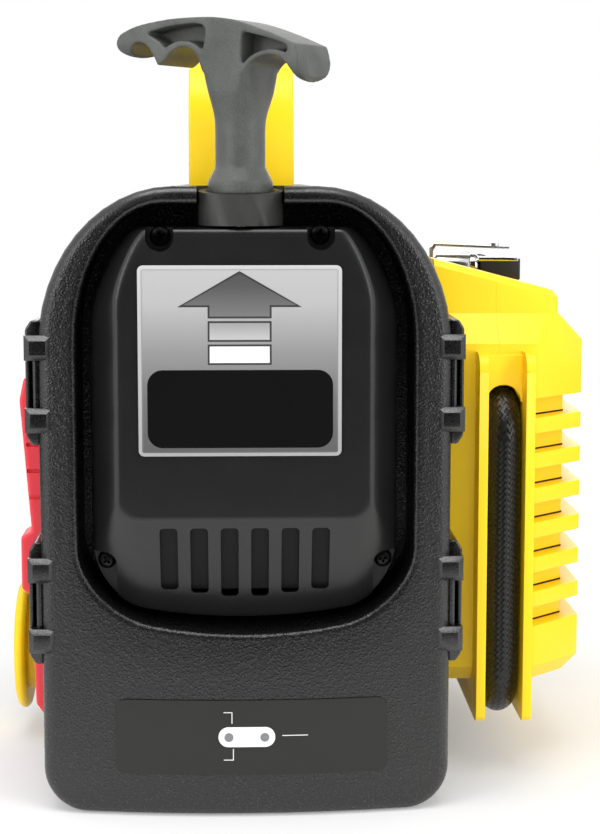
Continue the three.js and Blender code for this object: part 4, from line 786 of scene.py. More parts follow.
near_rings = [at_depth(pocket(0), POCKET_FLOOR)]
for i in range(EDGE_STEPS + 1):
    turn = math.radians(90 * i / EDGE_STEPS)
    near_rings.append(at_depth(
        pocket(POCKET_EDGE * (1 - math.cos(turn))),
        on_face(POCKET_EDGE * (1 - math.sin(turn)))))
for share in (0.25, 0.5, 0.75):
    near_rings.append(at_depth(between(pocket(POCKET_EDGE), arch(RIM), share), on_face()))
near_rings += list(rim_rings()) + outside_rings()
near_rings += [
    at_depth(pocket(COVER_WALL), on_face(FACE_WALL)),
    at_depth(pocket(COVER_WALL), POCKET_FLOOR + COVER_WALL),
]
near_cover = skin(near_rings)
print("near cover faces:", len(near_cover.faces))

# %% [markdown]
# The rope collar stands in a round notch in the cover's top edge. The notch is lined with a
# wall of its own, so that the hollow cover stays closed: first the lining is joined on, then
# the notch is cut through it.

# %% The notch for the collar
ROPE_X, ROPE_Y, COLLAR_RADIUS = -2.0, 7.0, 19.3
LINING, LINING_NEAR, LINING_LOW, LINING_HIGH = 3.6, -7.6, 281.0, 286.4
NOTCH_SLACK, NOTCH_NEAR, NOTCH_LOW, NOTCH_HIGH = 0.25, -30.0, 268.0, 300.0


def notch(radius, near, low, high):
    """A keyhole plug: round at the rope's line and open to the front."""
    plug = outline([
        (ROPE_X - radius, near, 0, 0), (ROPE_X + radius, near, 0, 0),
        (ROPE_X + radius, ROPE_Y + radius, radius, radius),
        (ROPE_X - radius, ROPE_Y + radius, radius, radius),
    ], 12, 1)
    rings = [[Vector((p.x, p.z, z)) for p in plug] for z in (low, high)]
    return skin(rings)


near_cover = joined_with(
    near_cover, notch(COLLAR_RADIUS + LINING, LINING_NEAR, LINING_LOW, LINING_HIGH))
near_cover = cut_by(
    near_cover, notch(COLLAR_RADIUS + NOTCH_SLACK, NOTCH_NEAR, NOTCH_LOW, NOTCH_HIGH))
finish_piece("near_cover_shell", near_cover, grained_black, "case", "case_black",
             ["near_end_cover"])
print("near cover with its notch made")

# %% [markdown]
# The far cover has the same rim and wall, but no pocket. Its face is the rim's outline
# drawn in towards the middle, ring by ring, outside and again behind the wall. It is made
# like a near cover and then mirrored to the back of the case.

# %% The far cover
def drawn_in(points, shares, drop=0.0):
    """Rings of an outline shrunk towards the middle of the face, a drop behind the bulge."""
    middle = CASE_HEIGHT / 2
    return [
        [Vector((p.x * share, drop - dome(p.x * share), middle + (p.z - middle) * share))
         for p in points] for share in shares
    ]


far_rings = drawn_in(arch(RIM), (0.04, 0.2, 0.4, 0.6, 0.8))
far_rings += list(rim_rings()) + outside_rings()
far_rings += drawn_in(arch(COVER_WALL), (0.7, 0.4, 0.05), FACE_WALL)
far_cover = moved(stretched(skin(far_rings), y=-1), y=CASE_BACK)
bmesh.ops.recalc_face_normals(far_cover, faces=far_cover.faces)
print("far cover faces:", len(far_cover.faces))
finish_piece("far_cover_shell", far_cover, grained_black, "case", "case_black",
             ["far_end_cover"])

# %% [markdown]
# ## The generator cover
# A separate moulding sits in the pocket: a flat raised face with a soft ridge round it, and
# flanks that slope back to a straight edge. Its lower flank is the widest and has six
# vents. The rings go from the back edge over the flanks to the face, and two extra rings
# make the ridge soft.

# %% Rings of the generator cover
GEN_FACE, GEN_EDGE, GEN_BACK, GEN_WALL = -12.0, 8.0, 33.9, 2.5
GEN_X = -0.6


def generator_ring(side, top, bottom, bow, shoulder, foot, depth, chamfer=0.32):
    """One ring: shoulder and foot are (across, up) setbacks."""
    points = outline([
        (GEN_X - side, bottom, foot[1], foot[0]), (GEN_X + side, bottom, foot[0], foot[1]),
        (GEN_X + side, top, shoulder[1], shoulder[0], chamfer),
        (GEN_X - side, top, shoulder[0], shoulder[1], chamfer),
    ], 10, 8)
    for p in points:
        if p.z < bottom + foot[1]:
            p.z -= bow * max(0.0, 1 - ((p.x - GEN_X) / side) ** 2)
    return at_depth(points, depth)


EDGE = dict(side=70.0, top=270.0, bottom=99.0, bow=9.3, shoulder=(22, 42), foot=(24, 26))
RIDGE = dict(side=58.2, top=269.0, bottom=136.5, bow=0.0, shoulder=(15, 33), foot=(9, 9))


def blend_ring(share, depth, inset=0.0):
    """A ring part of the way from the edge to the ridge."""
    def part(a, b):
        return a + (b - a) * share
    shape = {}
    for key, low in EDGE.items():
        high = RIDGE[key]
        if isinstance(low, tuple):
            shape[key] = tuple(part(a, b) for a, b in zip(low, high))
        else:
            shape[key] = part(low, high)
    shape["side"] -= inset
    shape["top"] -= inset
    shape["bottom"] += inset
    return generator_ring(depth=depth, **shape)


SLOPE_TOP = GEN_FACE + 2.2
generator_rings = [blend_ring(0, GEN_BACK), blend_ring(0, GEN_EDGE + 0.8)]
generator_rings += [
    blend_ring(0.015, GEN_EDGE + 0.2), blend_ring(0.05, GEN_EDGE - 0.8),
]
for share in (0.25, 0.5, 0.75):
    generator_rings.append(
        blend_ring(0.05 + 0.9 * share, GEN_EDGE - 0.8 + (SLOPE_TOP - GEN_EDGE + 0.8) * share))
generator_rings += [
    blend_ring(0.95, SLOPE_TOP), blend_ring(1.0, GEN_FACE + 1.1, 0.3),
    blend_ring(1.0, GEN_FACE + 0.35, 1.2), blend_ring(1.0, GEN_FACE, 2.4),
    blend_ring(1.0, GEN_FACE, 4.0),
]
generator_outer = skin(generator_rings)
hollow_rings = [
    blend_ring(0, GEN_BACK + 6, GEN_WALL), blend_ring(0, GEN_EDGE + 1.5, GEN_WALL),
    blend_ring(0.95, SLOPE_TOP + GEN_WALL, GEN_WALL),
    blend_ring(1.0, GEN_FACE + GEN_WALL, GEN_WALL + 2),
]
generator_cover = cut_by(generator_outer, skin(hollow_rings))
print("generator cover faces:", len(generator_cover.faces))

# %% [markdown]
# Two U-shaped notches in the top edge and two round seats low down give a screwdriver its
# way to the screws. Each is a tub: a plug with a wall is joined on and then cored out. The
# vents are plain slots with rounded ends.

# %% Screw seats and vents
TOP_SEATS, TOP_SEAT_RADIUS, SEAT_BACK = [(-38.0, 265.2), (33.6, 265.8)], 6.2, 0.5
FOOT_SEATS, FOOT_SEAT_RADIUS = [(-64.2, 116.5), (63.4, 116.5)], 5.0
FOOT_SEAT_BACK = GEN_EDGE + 4
TUB_WALL, TOP_TUB_NEAR, FOOT_TUB_NEAR, CUT_NEAR = 1.6, -11.0, -8.0, -20.0
SEAT_TOP, SEAT_REACH = 290, 40


def top_seat(x, z, radius, near, far):
    return slab(outline([
        (x - radius, z - radius, radius, radius), (x + radius, z - radius, radius, radius),
        (x + radius, SEAT_TOP, 0, 0), (x - radius, SEAT_TOP, 0, 0)], 8, 1), near, far)


def foot_seat(x, z, radius, near, far):
    """Open downwards and outwards, as the seat runs out of the corner."""
    near_x, far_x = x - math.copysign(radius, x), x + math.copysign(SEAT_REACH, x)
    low = z - SEAT_REACH
    corners = [(near_x, low, 0, 0), (far_x, low, 0, 0), (far_x, z + radius, 0, 0),
               (near_x, z + radius, radius, radius)]
    if far_x < near_x:
        corners.reverse()
    return slab(outline(corners, 8, 1), near, far)


VENT_COUNT, VENT_PITCH, VENT_HALF, VENT_ROUND = 6, 13.8, 4.05, 1.9
VENT_TOP, VENT_LOW, VENT_LIFT = 134.5, 99.5, 1.7


def vent_slots(near, far):
    """The outer slots end a little higher, because the flank's lower edge bows."""
    for i in range(VENT_COUNT):
        place = i - (VENT_COUNT - 1) / 2
        x = GEN_X + place * VENT_PITCH
        low = VENT_LOW + abs(place) * VENT_LIFT
        yield slab(box_outline(
            x - VENT_HALF, x + VENT_HALF, low, VENT_TOP, VENT_ROUND, 4), near, far)


tubs = [top_seat(x, z, TOP_SEAT_RADIUS + TUB_WALL, TOP_TUB_NEAR, SEAT_BACK + TUB_WALL)
        for x, z in TOP_SEATS]
tubs += [foot_seat(x, z, FOOT_SEAT_RADIUS + TUB_WALL, FOOT_TUB_NEAR, FOOT_SEAT_BACK + TUB_WALL)
         for x, z in FOOT_SEATS]
inside = skin([blend_ring(0, GEN_BACK - 1, 0.3), blend_ring(0, GEN_EDGE + 0.9, 0.3),
               blend_ring(0.95, SLOPE_TOP + 0.4, 0.3), blend_ring(1.0, GEN_FACE + 0.5, 3.0)])
seats = combined("INTERSECT", merged(*tubs), [inside])
generator_cover = joined_with(generator_cover, seats)
generator_cover = cut_by(
    generator_cover,
    *[top_seat(x, z, TOP_SEAT_RADIUS, CUT_NEAR, SEAT_BACK) for x, z in TOP_SEATS],
    *[foot_seat(x, z, FOOT_SEAT_RADIUS, CUT_NEAR, FOOT_SEAT_BACK) for x, z in FOOT_SEATS],
    merged(*vent_slots(CUT_NEAR, GEN_EDGE + 6)),
    moved(turned([(0, 0), (5.5, 0), (5.5, 20), (0, 20)], 20), ROPE_X, ROPE_Y, 260),
)
finish_piece("generator_cover_shell", generator_cover, charcoal, "case", "generator_grey",
             ["generator_cover"], sharp=32)
print("screw seats:", len(TOP_SEATS + FOOT_SEATS), "vents:", VENT_COUNT)

# %% [markdown]
# Behind the vents a plate slopes with the lower flank, so that the slots show a dark wall
# and not the far side of the pocket.

# %% The plate behind the vents
def sloped_plate(half_width, setback, thickness, low, high):
    """A thin plate that lies parallel to the lower flank, seen in Y and Z."""
    foot = EDGE["bottom"] - EDGE["bow"]
    slope = (GEN_EDGE - SLOPE_TOP) / (RIDGE["bottom"] - foot)
    corners = [(GEN_X - half_width, low), (GEN_X + half_width, low),
               (GEN_X + half_width, high), (GEN_X - half_width, high)]
    return skin([
        [Vector((x, GEN_EDGE + setback - (z - foot) * slope + back, z)) for x, z in corners]
        for back in (0, thickness)])


backing = sloped_plate(half_width=42.0, setback=4.0, thickness=1.5, low=103.0, high=137.0)
print("vent backing faces:", len(backing.faces))
finish_piece("vent_backing", backing, vent_dark, "case", "generator_grey", bevel=(0.4, 2, 35))

# %% [markdown]
# ## Screws
# Pan-head screws with a cross recess. A head is a spun profile, and the recess is a cross
# of two tapered slots that is cut out of it.

# %% A screw with a cross recess
SCREW_HEIGHT, SLOT_TAPER = 3.0, 0.45


def screw(x, y, z, radius, height, turn=0.0):
    """A pan head that faces -Y, its seat at y."""
    head = turned([
        (0, 0), (radius, 0), (radius, height * 0.35), (radius * 0.9, height * 0.7),
        (radius * 0.6, height * 0.95), (0, height)], 28)
    slots = []
    for angle in (0, QUARTER):
        slot = bmesh.new()
        bmesh.ops.create_cube(slot, size=1)
        stretched(slot, radius * 1.15, radius * 0.26, height)
        for v in slot.verts:
            if v.co.z < 0:
                v.co.x *= SLOT_TAPER
        slots.append(moved(swung(slot, angle + turn, "Z"), z=height * 0.82))
    head = cut_by(head, joined_with(*slots))
    return moved(swung(head, QUARTER, "X"), x, y, z)


for end, places, seat, lift, radius, turn in (
        ("top", TOP_SEATS, SEAT_BACK - 0.1, 0.6, 4.6, 0.4),
        ("foot", FOOT_SEATS, FOOT_SEAT_BACK - 0.1, 0.0, 4.2, 0.7)):
    for n, (x, z) in enumerate(places):
        finish_piece(
            f"{end}_screw_{n}", screw(x, seat, z + lift, radius, SCREW_HEIGHT, turn + n),
            black_screw, "case", "steel", sharp=40)
    print(end, "screws:", len(places))

# %% [markdown]
# ## The pull label
# A silver plate with a pressed rim carries an arrow over two bars and a dark panel. Each
# print is a very thin raised plate of its own, so its edge stays crisp, and each has its
# own gradient.

# %% The pull label and its prints
PLATE_LEFT, PLATE_RIGHT, PLATE_LOW, PLATE_HIGH, PLATE_ROUND = -47.9, 42.9, 167.8, 253.1, 2.6
PLATE_FRONT, PLATE_BACK = -13.15, -12.25
PRINT_BACK = PLATE_FRONT + 0.2


def plate_slab(near, far, inset=0.0):
    """The plate's outline, or a smaller one an inset within it, between two depths."""
    return slab(box_outline(
        PLATE_LEFT + inset, PLATE_RIGHT - inset, PLATE_LOW + inset, PLATE_HIGH - inset,
        max(0.1, PLATE_ROUND - inset), 6), near, far)


finish_piece("label_rim", plate_slab(PLATE_FRONT, PLATE_BACK), plate_rim, "case",
             "label_silver", ["pull_label_plate"], bevel=(0.25, 2, 40))
for name, rise, inset, ink in (
        ("label_line", 0.04, 1.6, plate_line), ("label_field", 0.08, 2.2, plate_silver)):
    finish_piece(name, plate_slab(PLATE_FRONT - rise, PRINT_BACK, inset), ink, "case",
                 "label_silver")
print("plate, mm:", round(PLATE_RIGHT - PLATE_LEFT, 1), "by", round(PLATE_HIGH - PLATE_LOW, 1))

# %% [markdown]
# The arrow and its bars each have a dark outline with a graded fill on it. One function
# gives the arrow's corners at any inset, so the fill is the outline drawn a line's width
# smaller. Its wings and its tip take a larger share of the inset, because slanted edges
# move their corners further.

# %% Arrow, bars and dark panel
ARROW_X, HEAD_HALF, SHAFT_HALF = -2.6, 27.7, 14.2
ARROW_TIP, HEAD_LOW, SHAFT_LOW = 250.6, 234.6, 229.6
WING_SHARE, TIP_SHARE = 3, 1.2
INK_LINE, LINE_RISE, FILL_RISE, PANEL_RISE = 0.85, 0.12, 0.16, 0.14
PANEL, PANEL_ROUND = (-43.8, 39.0, 171.6, 206.6), 6.8


def print_slab(points, rise):
    """A print of a corner list that stands a rise in front of the plate."""
    return slab([Vector((x, 0, z)) for x, z in points], PLATE_FRONT - rise, PRINT_BACK)


def arrow_corners(inset=0.0):
    """From the shaft's left foot to the right, up round the head and back."""
    foot, wing_low, tip = SHAFT_LOW + inset, HEAD_LOW + inset, ARROW_TIP - inset * TIP_SHARE
    shaft, wing = SHAFT_HALF - inset, HEAD_HALF - inset * WING_SHARE
    return [
        (ARROW_X - shaft, foot), (ARROW_X + shaft, foot), (ARROW_X + shaft, wing_low),
        (ARROW_X + wing, wing_low), (ARROW_X, tip), (ARROW_X - wing, wing_low),
        (ARROW_X - shaft, wing_low),
    ]


def bar_corners(low, high, inset=0.0):
    left, right = ARROW_X - SHAFT_HALF + inset, ARROW_X + SHAFT_HALF - inset
    return [(left, low + inset), (right, low + inset), (right, high - inset),
            (left, high - inset)]


finish_piece("arrow_outline", print_slab(arrow_corners(), LINE_RISE), outline_ink, "case",
             "label_dark")
finish_piece("arrow_fill", print_slab(arrow_corners(INK_LINE), FILL_RISE), arrow_ink, "case",
             "label_dark")
for n, (low, high, ink) in enumerate((
        (219.2, 228.4, first_bar_ink), (208.9, 218.0, second_bar_ink))):
    finish_piece(f"bar_outline_{n}", print_slab(bar_corners(low, high), LINE_RISE),
                 outline_ink, "case", "label_dark")
    finish_piece(f"bar_fill_{n}", print_slab(bar_corners(low, high, INK_LINE), FILL_RISE),
                 ink, "case", "label_dark")
finish_piece("dark_panel", slab(
    box_outline(*PANEL, PANEL_ROUND, 8), PLATE_FRONT - PANEL_RISE, PRINT_BACK),
    panel_ink, "case", "label_dark")
print("arrow height, mm:", round(ARROW_TIP - SHAFT_LOW, 1))

# %% [markdown]
# ## The indicator label
# A thin dark label lies on the bulging face below the pocket. It is cut as a flat slab,
# sliced across by vertical planes, and then each point is moved back by the bulge at its X,
# so it follows the face. Its leader lines and its window follow the face the same way.

# %% Laying flat artwork on the bulging face
BEND_PITCH = 6.0


def laid_on_face(points, lift, thickness):
    """A slab that follows the bulge, its back a lift above the face."""
    bm = slab(points, -lift - thickness, -lift)
    reach = int(max(abs(p.x) for p in points) / BEND_PITCH)
    for i in range(-reach, reach + 1):
        bmesh.ops.bisect_plane(
            bm, geom=bm.verts[:] + bm.edges[:] + bm.faces[:], dist=1e-4,
            plane_co=(i * BEND_PITCH, 0, 0), plane_no=(1, 0, 0))
    for v in bm.verts:
        v.co.y -= dome(v.co.x)
    return bm


LABEL, LABEL_ROUND = (-60.3, 64.8, 19.8, 54.8), 5.0
WINDOW, WINDOW_ROUND = (-13.0, 13.0, 33.1, 42.4), 4.6
LAMP_X, LAMP_SEAT, LAMP_Z = 8.2, 1.2, 37.7
finish_piece("indicator_plate", laid_on_face(box_outline(*LABEL, LABEL_ROUND, 8), 0.25, 0.45),
             label_dark, "case", "label_dark", ["indicator_label"], bevel=(0.12, 2, 50))
LEADERS = [
    (-10.6, -6.6, 49.0, 49.4), (-7.0, -6.6, 44.0, 49.4),
    (-10.6, -6.0, 26.7, 27.1), (-6.4, -6.0, 26.7, 32.2), (16.2, 28.0, 38.0, 38.4),
]
leaders = [laid_on_face(box_outline(*box, 0.05, 1), 0.6, 0.15) for box in LEADERS]
finish_piece("leader_lines", merged(*leaders), leader_ink, "case", "window")
finish_piece("window_capsule", laid_on_face(
    box_outline(*WINDOW, WINDOW_ROUND, 10), 0.3, 1.0), window_white, "case", "window",
    ["indicator_window"], bevel=(0.3, 2, 50))
for n, (side, node) in enumerate(((-1, "polarity_lamp"), (1, "charge_lamp"))):
    lamp = turned(
        [(0, 0), (2.1, 0), (2.05, 0.3), (1.6, 0.55), (0.8, 0.7), (0, 0.75)], 24, "Y")
    moved(lamp, side * LAMP_X, -LAMP_SEAT - dome(LAMP_X), LAMP_Z)
    finish_piece(f"lamp_{n}", lamp, lamp_grey, "case", "lamp", [node])
print("leader lines:", len(LEADERS))

# %% [markdown]
# ## The pull handle
# A T-handle moulded in grey plastic: an arched grip with finger scallops underneath and
# deep pockets in both faces, on a round stem. Its soft, flowing edges are hard to bevel one
# by one, so the rough solids are joined and then remeshed with small voxels and smoothed,
# which rounds every edge and fills every inner corner a little, as a mould does. The grip is
# drawn straight and turned into its parked place at the end.

# %% The grip's profile
def curve_through(points, steps=6):
    """A smooth run through places in X and Z."""
    places = [Vector((x, 0, z)) for x, z in points]
    ends = [places[0] * 2 - places[1], *places, places[-1] * 2 - places[-2]]
    run = []
    for a, b, c, d in zip(ends, ends[1:], ends[2:], ends[3:]):
        run += interpolate_bezier(b, b + (c - a) / 6, c - (d - b) / 6, c, steps + 1)[:-1]
    return [*run, places[-1]]


def looped(runs):
    """A closed outline of smooth runs that meet in corners."""
    points = []
    for run in runs:
        points += curve_through(run)[:-1]
    return points


GRIP_TURN, GRIP_DEPTH, GRIP_WEB = math.radians(-32), 29.0, 5.0
STEM_RADIUS, STEM_TOP, FOOT_RADIUS, FOOT_Z = 11.3, 316.0, 14.7, 284.4
grip_runs = [
    [(-57.6, 351.6), (-57.0, 348.2), (-54.6, 346.2), (-51.4, 347.4), (-48.6, 350.9),
     (-45.6, 352.4), (-41.4, 351.2), (-37.7, 347.0), (-34.8, 341.5)],
    [(-34.8, 341.5), (-31.4, 343.6), (-27.8, 347.3), (-22.4, 349.6), (-17.0, 348.4),
     (-13.6, 345.0), (-12.2, 341.4), (-10.6, 338.0), (-6.0, 335.6), (0.4, 334.8)],
    [(0.4, 334.8), (6.6, 335.6), (11.2, 338.0), (12.6, 340.0), (15.0, 342.2), (19.3, 344.2),
     (24.4, 344.7), (29.5, 343.0), (33.0, 339.4), (34.8, 334.6), (36.6, 332.8)],
    [(36.6, 332.8), (38.6, 336.0), (38.4, 343.0), (36.9, 349.0)],
    [(36.9, 349.0), (23.0, 354.6), (8.0, 359.6), (-3.0, 361.7), (-15.0, 362.3),
     (-29.0, 361.9), (-44.0, 360.0), (-52.0, 357.6), (-56.2, 355.2), (-57.6, 351.6)],
]
grip_profile = looped(grip_runs)
grip = slab(grip_profile, -GRIP_DEPTH / 2, GRIP_DEPTH / 2)
print("grip profile points:", len(grip_profile))

# %% [markdown]
# The grip was run out flat, so its end lobes are still square across. A cutter with a round
# hollow takes away what lies below each lobe, and a large ball hollows the right end. The
# root is skinned from rings that turn from round to square on the way up, which spreads
# the stem into the grip without a seam.

# %% Rounded end lobes and the root of the stem
LOBES = ((-62, -47.5, 351.8, 5.6), (32.4, 42, 341.4, 8.6))
LOBE_STEPS, LOBE_MARGIN, LOBE_CUT_LOW, ROOT_STEPS = 16, 2, 320, 48
DIMPLE_RADIUS, DIMPLE_X, DIMPLE_Z = 20, 57.3, 341.5


def lobe_cutter(x0, x1, middle_z, drop):
    """What has to go so that the underside of an end lobe is round across its depth."""
    half = GRIP_DEPTH / 2
    side = half + LOBE_MARGIN
    curve = [(half * math.cos(a), middle_z - drop * math.sin(a))
             for a in (math.pi * i / LOBE_STEPS for i in range(LOBE_STEPS + 1))]
    shape = [(side, middle_z), *curve, (-side, middle_z), (-side, LOBE_CUT_LOW),
             (side, LOBE_CUT_LOW)]
    return skin([[Vector((x, y, z)) for y, z in shape] for x in (x0, x1)])


def root_ring(z, half_width, half_depth, power, shift):
    """A round ring that turns square as its power grows."""
    ring = []
    for k in range(ROOT_STEPS):
        a = math.tau * k / ROOT_STEPS
        x, y = (math.copysign(abs(f(a)) ** (2 / power), f(a)) for f in (math.cos, math.sin))
        ring.append(Vector((x * half_width + shift, y * half_depth, z)))
    return ring


root = skin([root_ring(*row) for row in (
    (312, 11.3, 11.3, 2.0, 0.0), (317, 11.4, 11.6, 2.05, 0.1), (321, 11.6, 12.4, 2.3, 0.3),
    (325, 11.8, 13.5, 2.8, 0.5), (329, 12.0, 14.3, 3.6, 0.6), (333, 12.2, 14.5, 4.6, 0.5),
    (338, 12.7, 14.5, 6.0, 0.4), (346, 13.2, 14.5, 9.0, 0.2))])
grip = cut_by(grip, merged(*[lobe_cutter(*lobe) for lobe in LOBES]))
dimple = bmesh.new()
bmesh.ops.create_uvsphere(dimple, u_segments=32, v_segments=16, radius=DIMPLE_RADIUS)
grip = cut_by(grip, moved(dimple, DIMPLE_X, 0, DIMPLE_Z))
print("grip faces:", len(grip.faces))

# %% [markdown]
# The grip's two faces are hollowed to a thin web on each side of the stem, which keeps the
# walls of the moulding even. The hollows are cut before the remesh, so that their rims
# soften with the rest.

# %% Stem, pockets and the soft remesh
VOXEL, GRIP_RELAX, CUT_OVER = 0.60, 9, 10
left_pocket = looped([
    [(-41.5, 356.4), (-34.0, 352.2), (-31.0, 349.2)],
    [(-31.0, 349.2), (-27.0, 351.2), (-22.0, 352.2), (-16.5, 351.2), (-10.6, 347.6)],
    [(-10.6, 347.6), (-10.4, 358.4), (-26.0, 359.0), (-41.5, 356.4)],
])
right_pocket = looped([
    [(9.8, 355.2), (9.6, 341.8), (13.8, 344.2), (19.0, 346.3), (26.0, 346.9), (32.4, 345.2)],
    [(32.4, 345.2), (32.0, 348.6), (21.0, 352.4), (9.8, 355.2)],
])
stem = turned([
    (0, FOOT_Z), (FOOT_RADIUS, FOOT_Z), (FOOT_RADIUS, FOOT_Z + 5.2), (12.0, 295.0),
    (STEM_RADIUS, 296.0), (STEM_RADIUS, STEM_TOP), (0, STEM_TOP)], 48)
handle = joined_with(stem, root, grip)
pocket_deep = (GRIP_DEPTH - GRIP_WEB) / 2
handle = cut_by(handle, merged(*[
    slab(shape, near, near + pocket_deep + CUT_OVER)
    for shape in (left_pocket, right_pocket)
    for near in (-GRIP_DEPTH / 2 - CUT_OVER, GRIP_DEPTH / 2 - pocket_deep)
]))
handle = remeshed(handle, VOXEL, GRIP_RELAX)
moved(swung(handle, GRIP_TURN, "Z"), ROPE_X, ROPE_Y)
print("handle faces:", len(handle.faces))
finish_piece("pull_handle_moulding", handle, handle_grey, "pull_handle", "handle_grey",
             ["pull_handle"], sharp=80)

# %% [markdown]
# The rope ties the handle to the reel. At rest only its end shows, but when the handle is pulled
# it stretches out of the collar. Its piece rides on no body, and the places of its two ends are
# worked out.

# %% The rope
ROPE_RADIUS, ROPE_LOW, ROPE_HIGH, ROPE_RINGS, ROPE_LAY = 2.0, 190, 284, 20, 0.08
BLEND_MARGIN = 2
ring_pitch = (ROPE_HIGH - ROPE_LOW) / ROPE_RINGS
rope = turned([
    (0, ROPE_LOW), *[(ROPE_RADIUS, ROPE_LOW + i * ring_pitch) for i in range(ROPE_RINGS + 1)],
    (0, ROPE_HIGH)], 16)


def wrapped(bm, units_per_mm):
    """A UV map round Z: U goes once round and V follows the length."""
    layer = bm.loops.layers.uv.new("wrap")
    for face in bm.faces:
        angles = [math.atan2(corner.vert.co.y, corner.vert.co.x) / math.tau
                  for corner in face.loops]
        if max(angles) - min(angles) > 0.5:
            angles = [a + 1 if a < 0 else a for a in angles]
        for corner, angle in zip(face.loops, angles):
            corner[layer].uv = (angle, corner.vert.co.z * units_per_mm)
    return bm


moved(wrapped(rope, ROPE_LAY), ROPE_X, ROPE_Y)
print("rope faces:", len(rope.faces))
rope_piece = finish_piece("starter_rope_braid", rope, rope_braid, None, "rope_braid",
                          ["starter_rope"], sharp=60)
rope_low, rope_high = (TO_FRAME @ Vector((ROPE_X, ROPE_Y, z)) for z in (
    ROPE_LOW + BLEND_MARGIN, ROPE_HIGH - BLEND_MARGIN))
tuple(rope_low)
tuple(rope_high)
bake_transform(rope_piece)

# %% [markdown]
# ## The air hose
# The hose is parked in the channel of the compressor module: down the front, under the
# module, up its back and along its top to the chuck. It is one round section carried along
# a route of straight runs and bends, with a UV map for the braid.

# %% The hose along its route
HOSE_RADIUS, HOSE_X, HOSE_BEND, HOSE_SIDES = 8.3, 125.4, 18.0, 32
hose_corners = [(56.0, 183.0), (56.0, 34.4), (224.0, 34.4), (224.0, 244.0)]
hose_start, hose_end = (98.0, 183.0), (160.0, 244.0)
RUN_PITCH, BEND_STEPS, END_STEPS = 12, 12, 3
SLIM_FROM, SLIM_RUN = 215, 20


def hose_route():
    """Places along the hose in X, Y and Z."""
    stops = [Vector((HOSE_X, y, z)) for y, z in (hose_start, *hose_corners, hose_end)]
    route = [stops[0]]
    for before, corner, after in zip(stops, stops[1:], stops[2:]):
        enter = corner + (before - corner).normalized() * HOSE_BEND
        leave = corner + (after - corner).normalized() * HOSE_BEND
        run = (enter - route[-1]).length
        pieces = max(1, int(run / RUN_PITCH))
        route += [route[-1].lerp(enter, i / pieces) for i in range(1, pieces + 1)]
        route += interpolate_bezier(enter, enter.lerp(corner, ROUND),
                                    leave.lerp(corner, ROUND), leave, BEND_STEPS + 1)[1:]
    route += [route[-1].lerp(stops[-1], i / END_STEPS) for i in range(1, END_STEPS + 1)]
    return route


route = hose_route()
across = Vector((1, 0, 0))
hose_rings, lengths = [], [0.0]
for i, place in enumerate(route):
    ahead = (route[min(i + 1, len(route) - 1)] - route[max(i - 1, 0)]).normalized()
    above = ahead.cross(across).normalized()
    if i:
        lengths.append(lengths[-1] + (place - route[i - 1]).length)
    slimmer = min(1.0, max(0.0, (place.z - SLIM_FROM) / SLIM_RUN))
    hose_rings.append([
        place + (across * math.cos(a) + above * math.sin(a)) * (HOSE_RADIUS - slimmer)
        for a in (math.tau * k / HOSE_SIDES for k in range(HOSE_SIDES))])
hose = skin(hose_rings)
print("hose length, mm:", round(lengths[-1]))

# %% [markdown]
# The braid needs a UV map that goes once round the hose and follows its length. Each ring's
# points are known, so a corner of a face is looked up by its place. A face that spans the
# join, where U goes from 1 back to 0, gets one more turn added on its low side.

# %% The hose's UV map
layer = hose.loops.layers.uv.new("wrap")


def key_of(place):
    return tuple(round(c, 3) for c in place)


place_of = {}
for length, ring in zip(lengths, hose_rings):
    for k, place in enumerate(ring):
        place_of[key_of(place)] = (k / HOSE_SIDES, length)
for face in hose.faces:
    marks = [place_of[key_of(corner.vert.co)] for corner in face.loops]
    wide = max(m[0] for m in marks) - min(m[0] for m in marks) > 0.5
    for corner, (around, along) in zip(face.loops, marks):
        around += 1 if wide and around < 0.5 else 0
        corner[layer].uv = (around, along / (math.tau * HOSE_RADIUS))
print("V at the chuck:", round(lengths[-1] / (math.tau * HOSE_RADIUS), 2))
finish_piece("air_hose_braid", hose, hose_braid, "case", "hose_braid", ["air_hose"], sharp=60)

# %% [markdown]
# ## The compressor module
# The module's two yellow half-shells keep their CAD shape. Their edges are rounded in the
# mesh with the bevel operator, because it can skip the edges along the seam: a modifier
# would turn the hairline seam into a wide V. The channel's walls have large round upper
# corners, and each is cut with a block less a bar, which is just what a round leaves off.

# %% Shells with rounded edges
SEAM_X, SEAM_REACH, HALF_SEAM, SHELL_ROUND = 123.45, 0.5, 0.03, 1.5
WALL_NEAR, WALL_FAR, WALL_TOP, WALL_TURN = 45.0, 235.0, 208.0, 9.0
WALL_LEFT, WALL_RIGHT, BAR_OVER = 95, 165, 2


def off_the_seam(edge):
    return any(abs(v.co.x - SEAM_X) > SEAM_REACH for v in edge.verts)


def corner_waste(end_y, inwards):
    """What a rounded upper corner leaves off a wall of the hose channel."""
    centre_y, centre_z = end_y + inwards * WALL_TURN, WALL_TOP - WALL_TURN
    low, high = sorted((end_y - inwards, centre_y))
    waste = block(WALL_LEFT, WALL_RIGHT, low, high, centre_z, WALL_TOP + 1)
    left, right = WALL_LEFT - BAR_OVER, WALL_RIGHT + BAR_OVER
    bar = turned([(0, left), (WALL_TURN, left), (WALL_TURN, right), (0, right)], 64, "X")
    return cut_by(waste, moved(bar, 0, centre_y, centre_z))


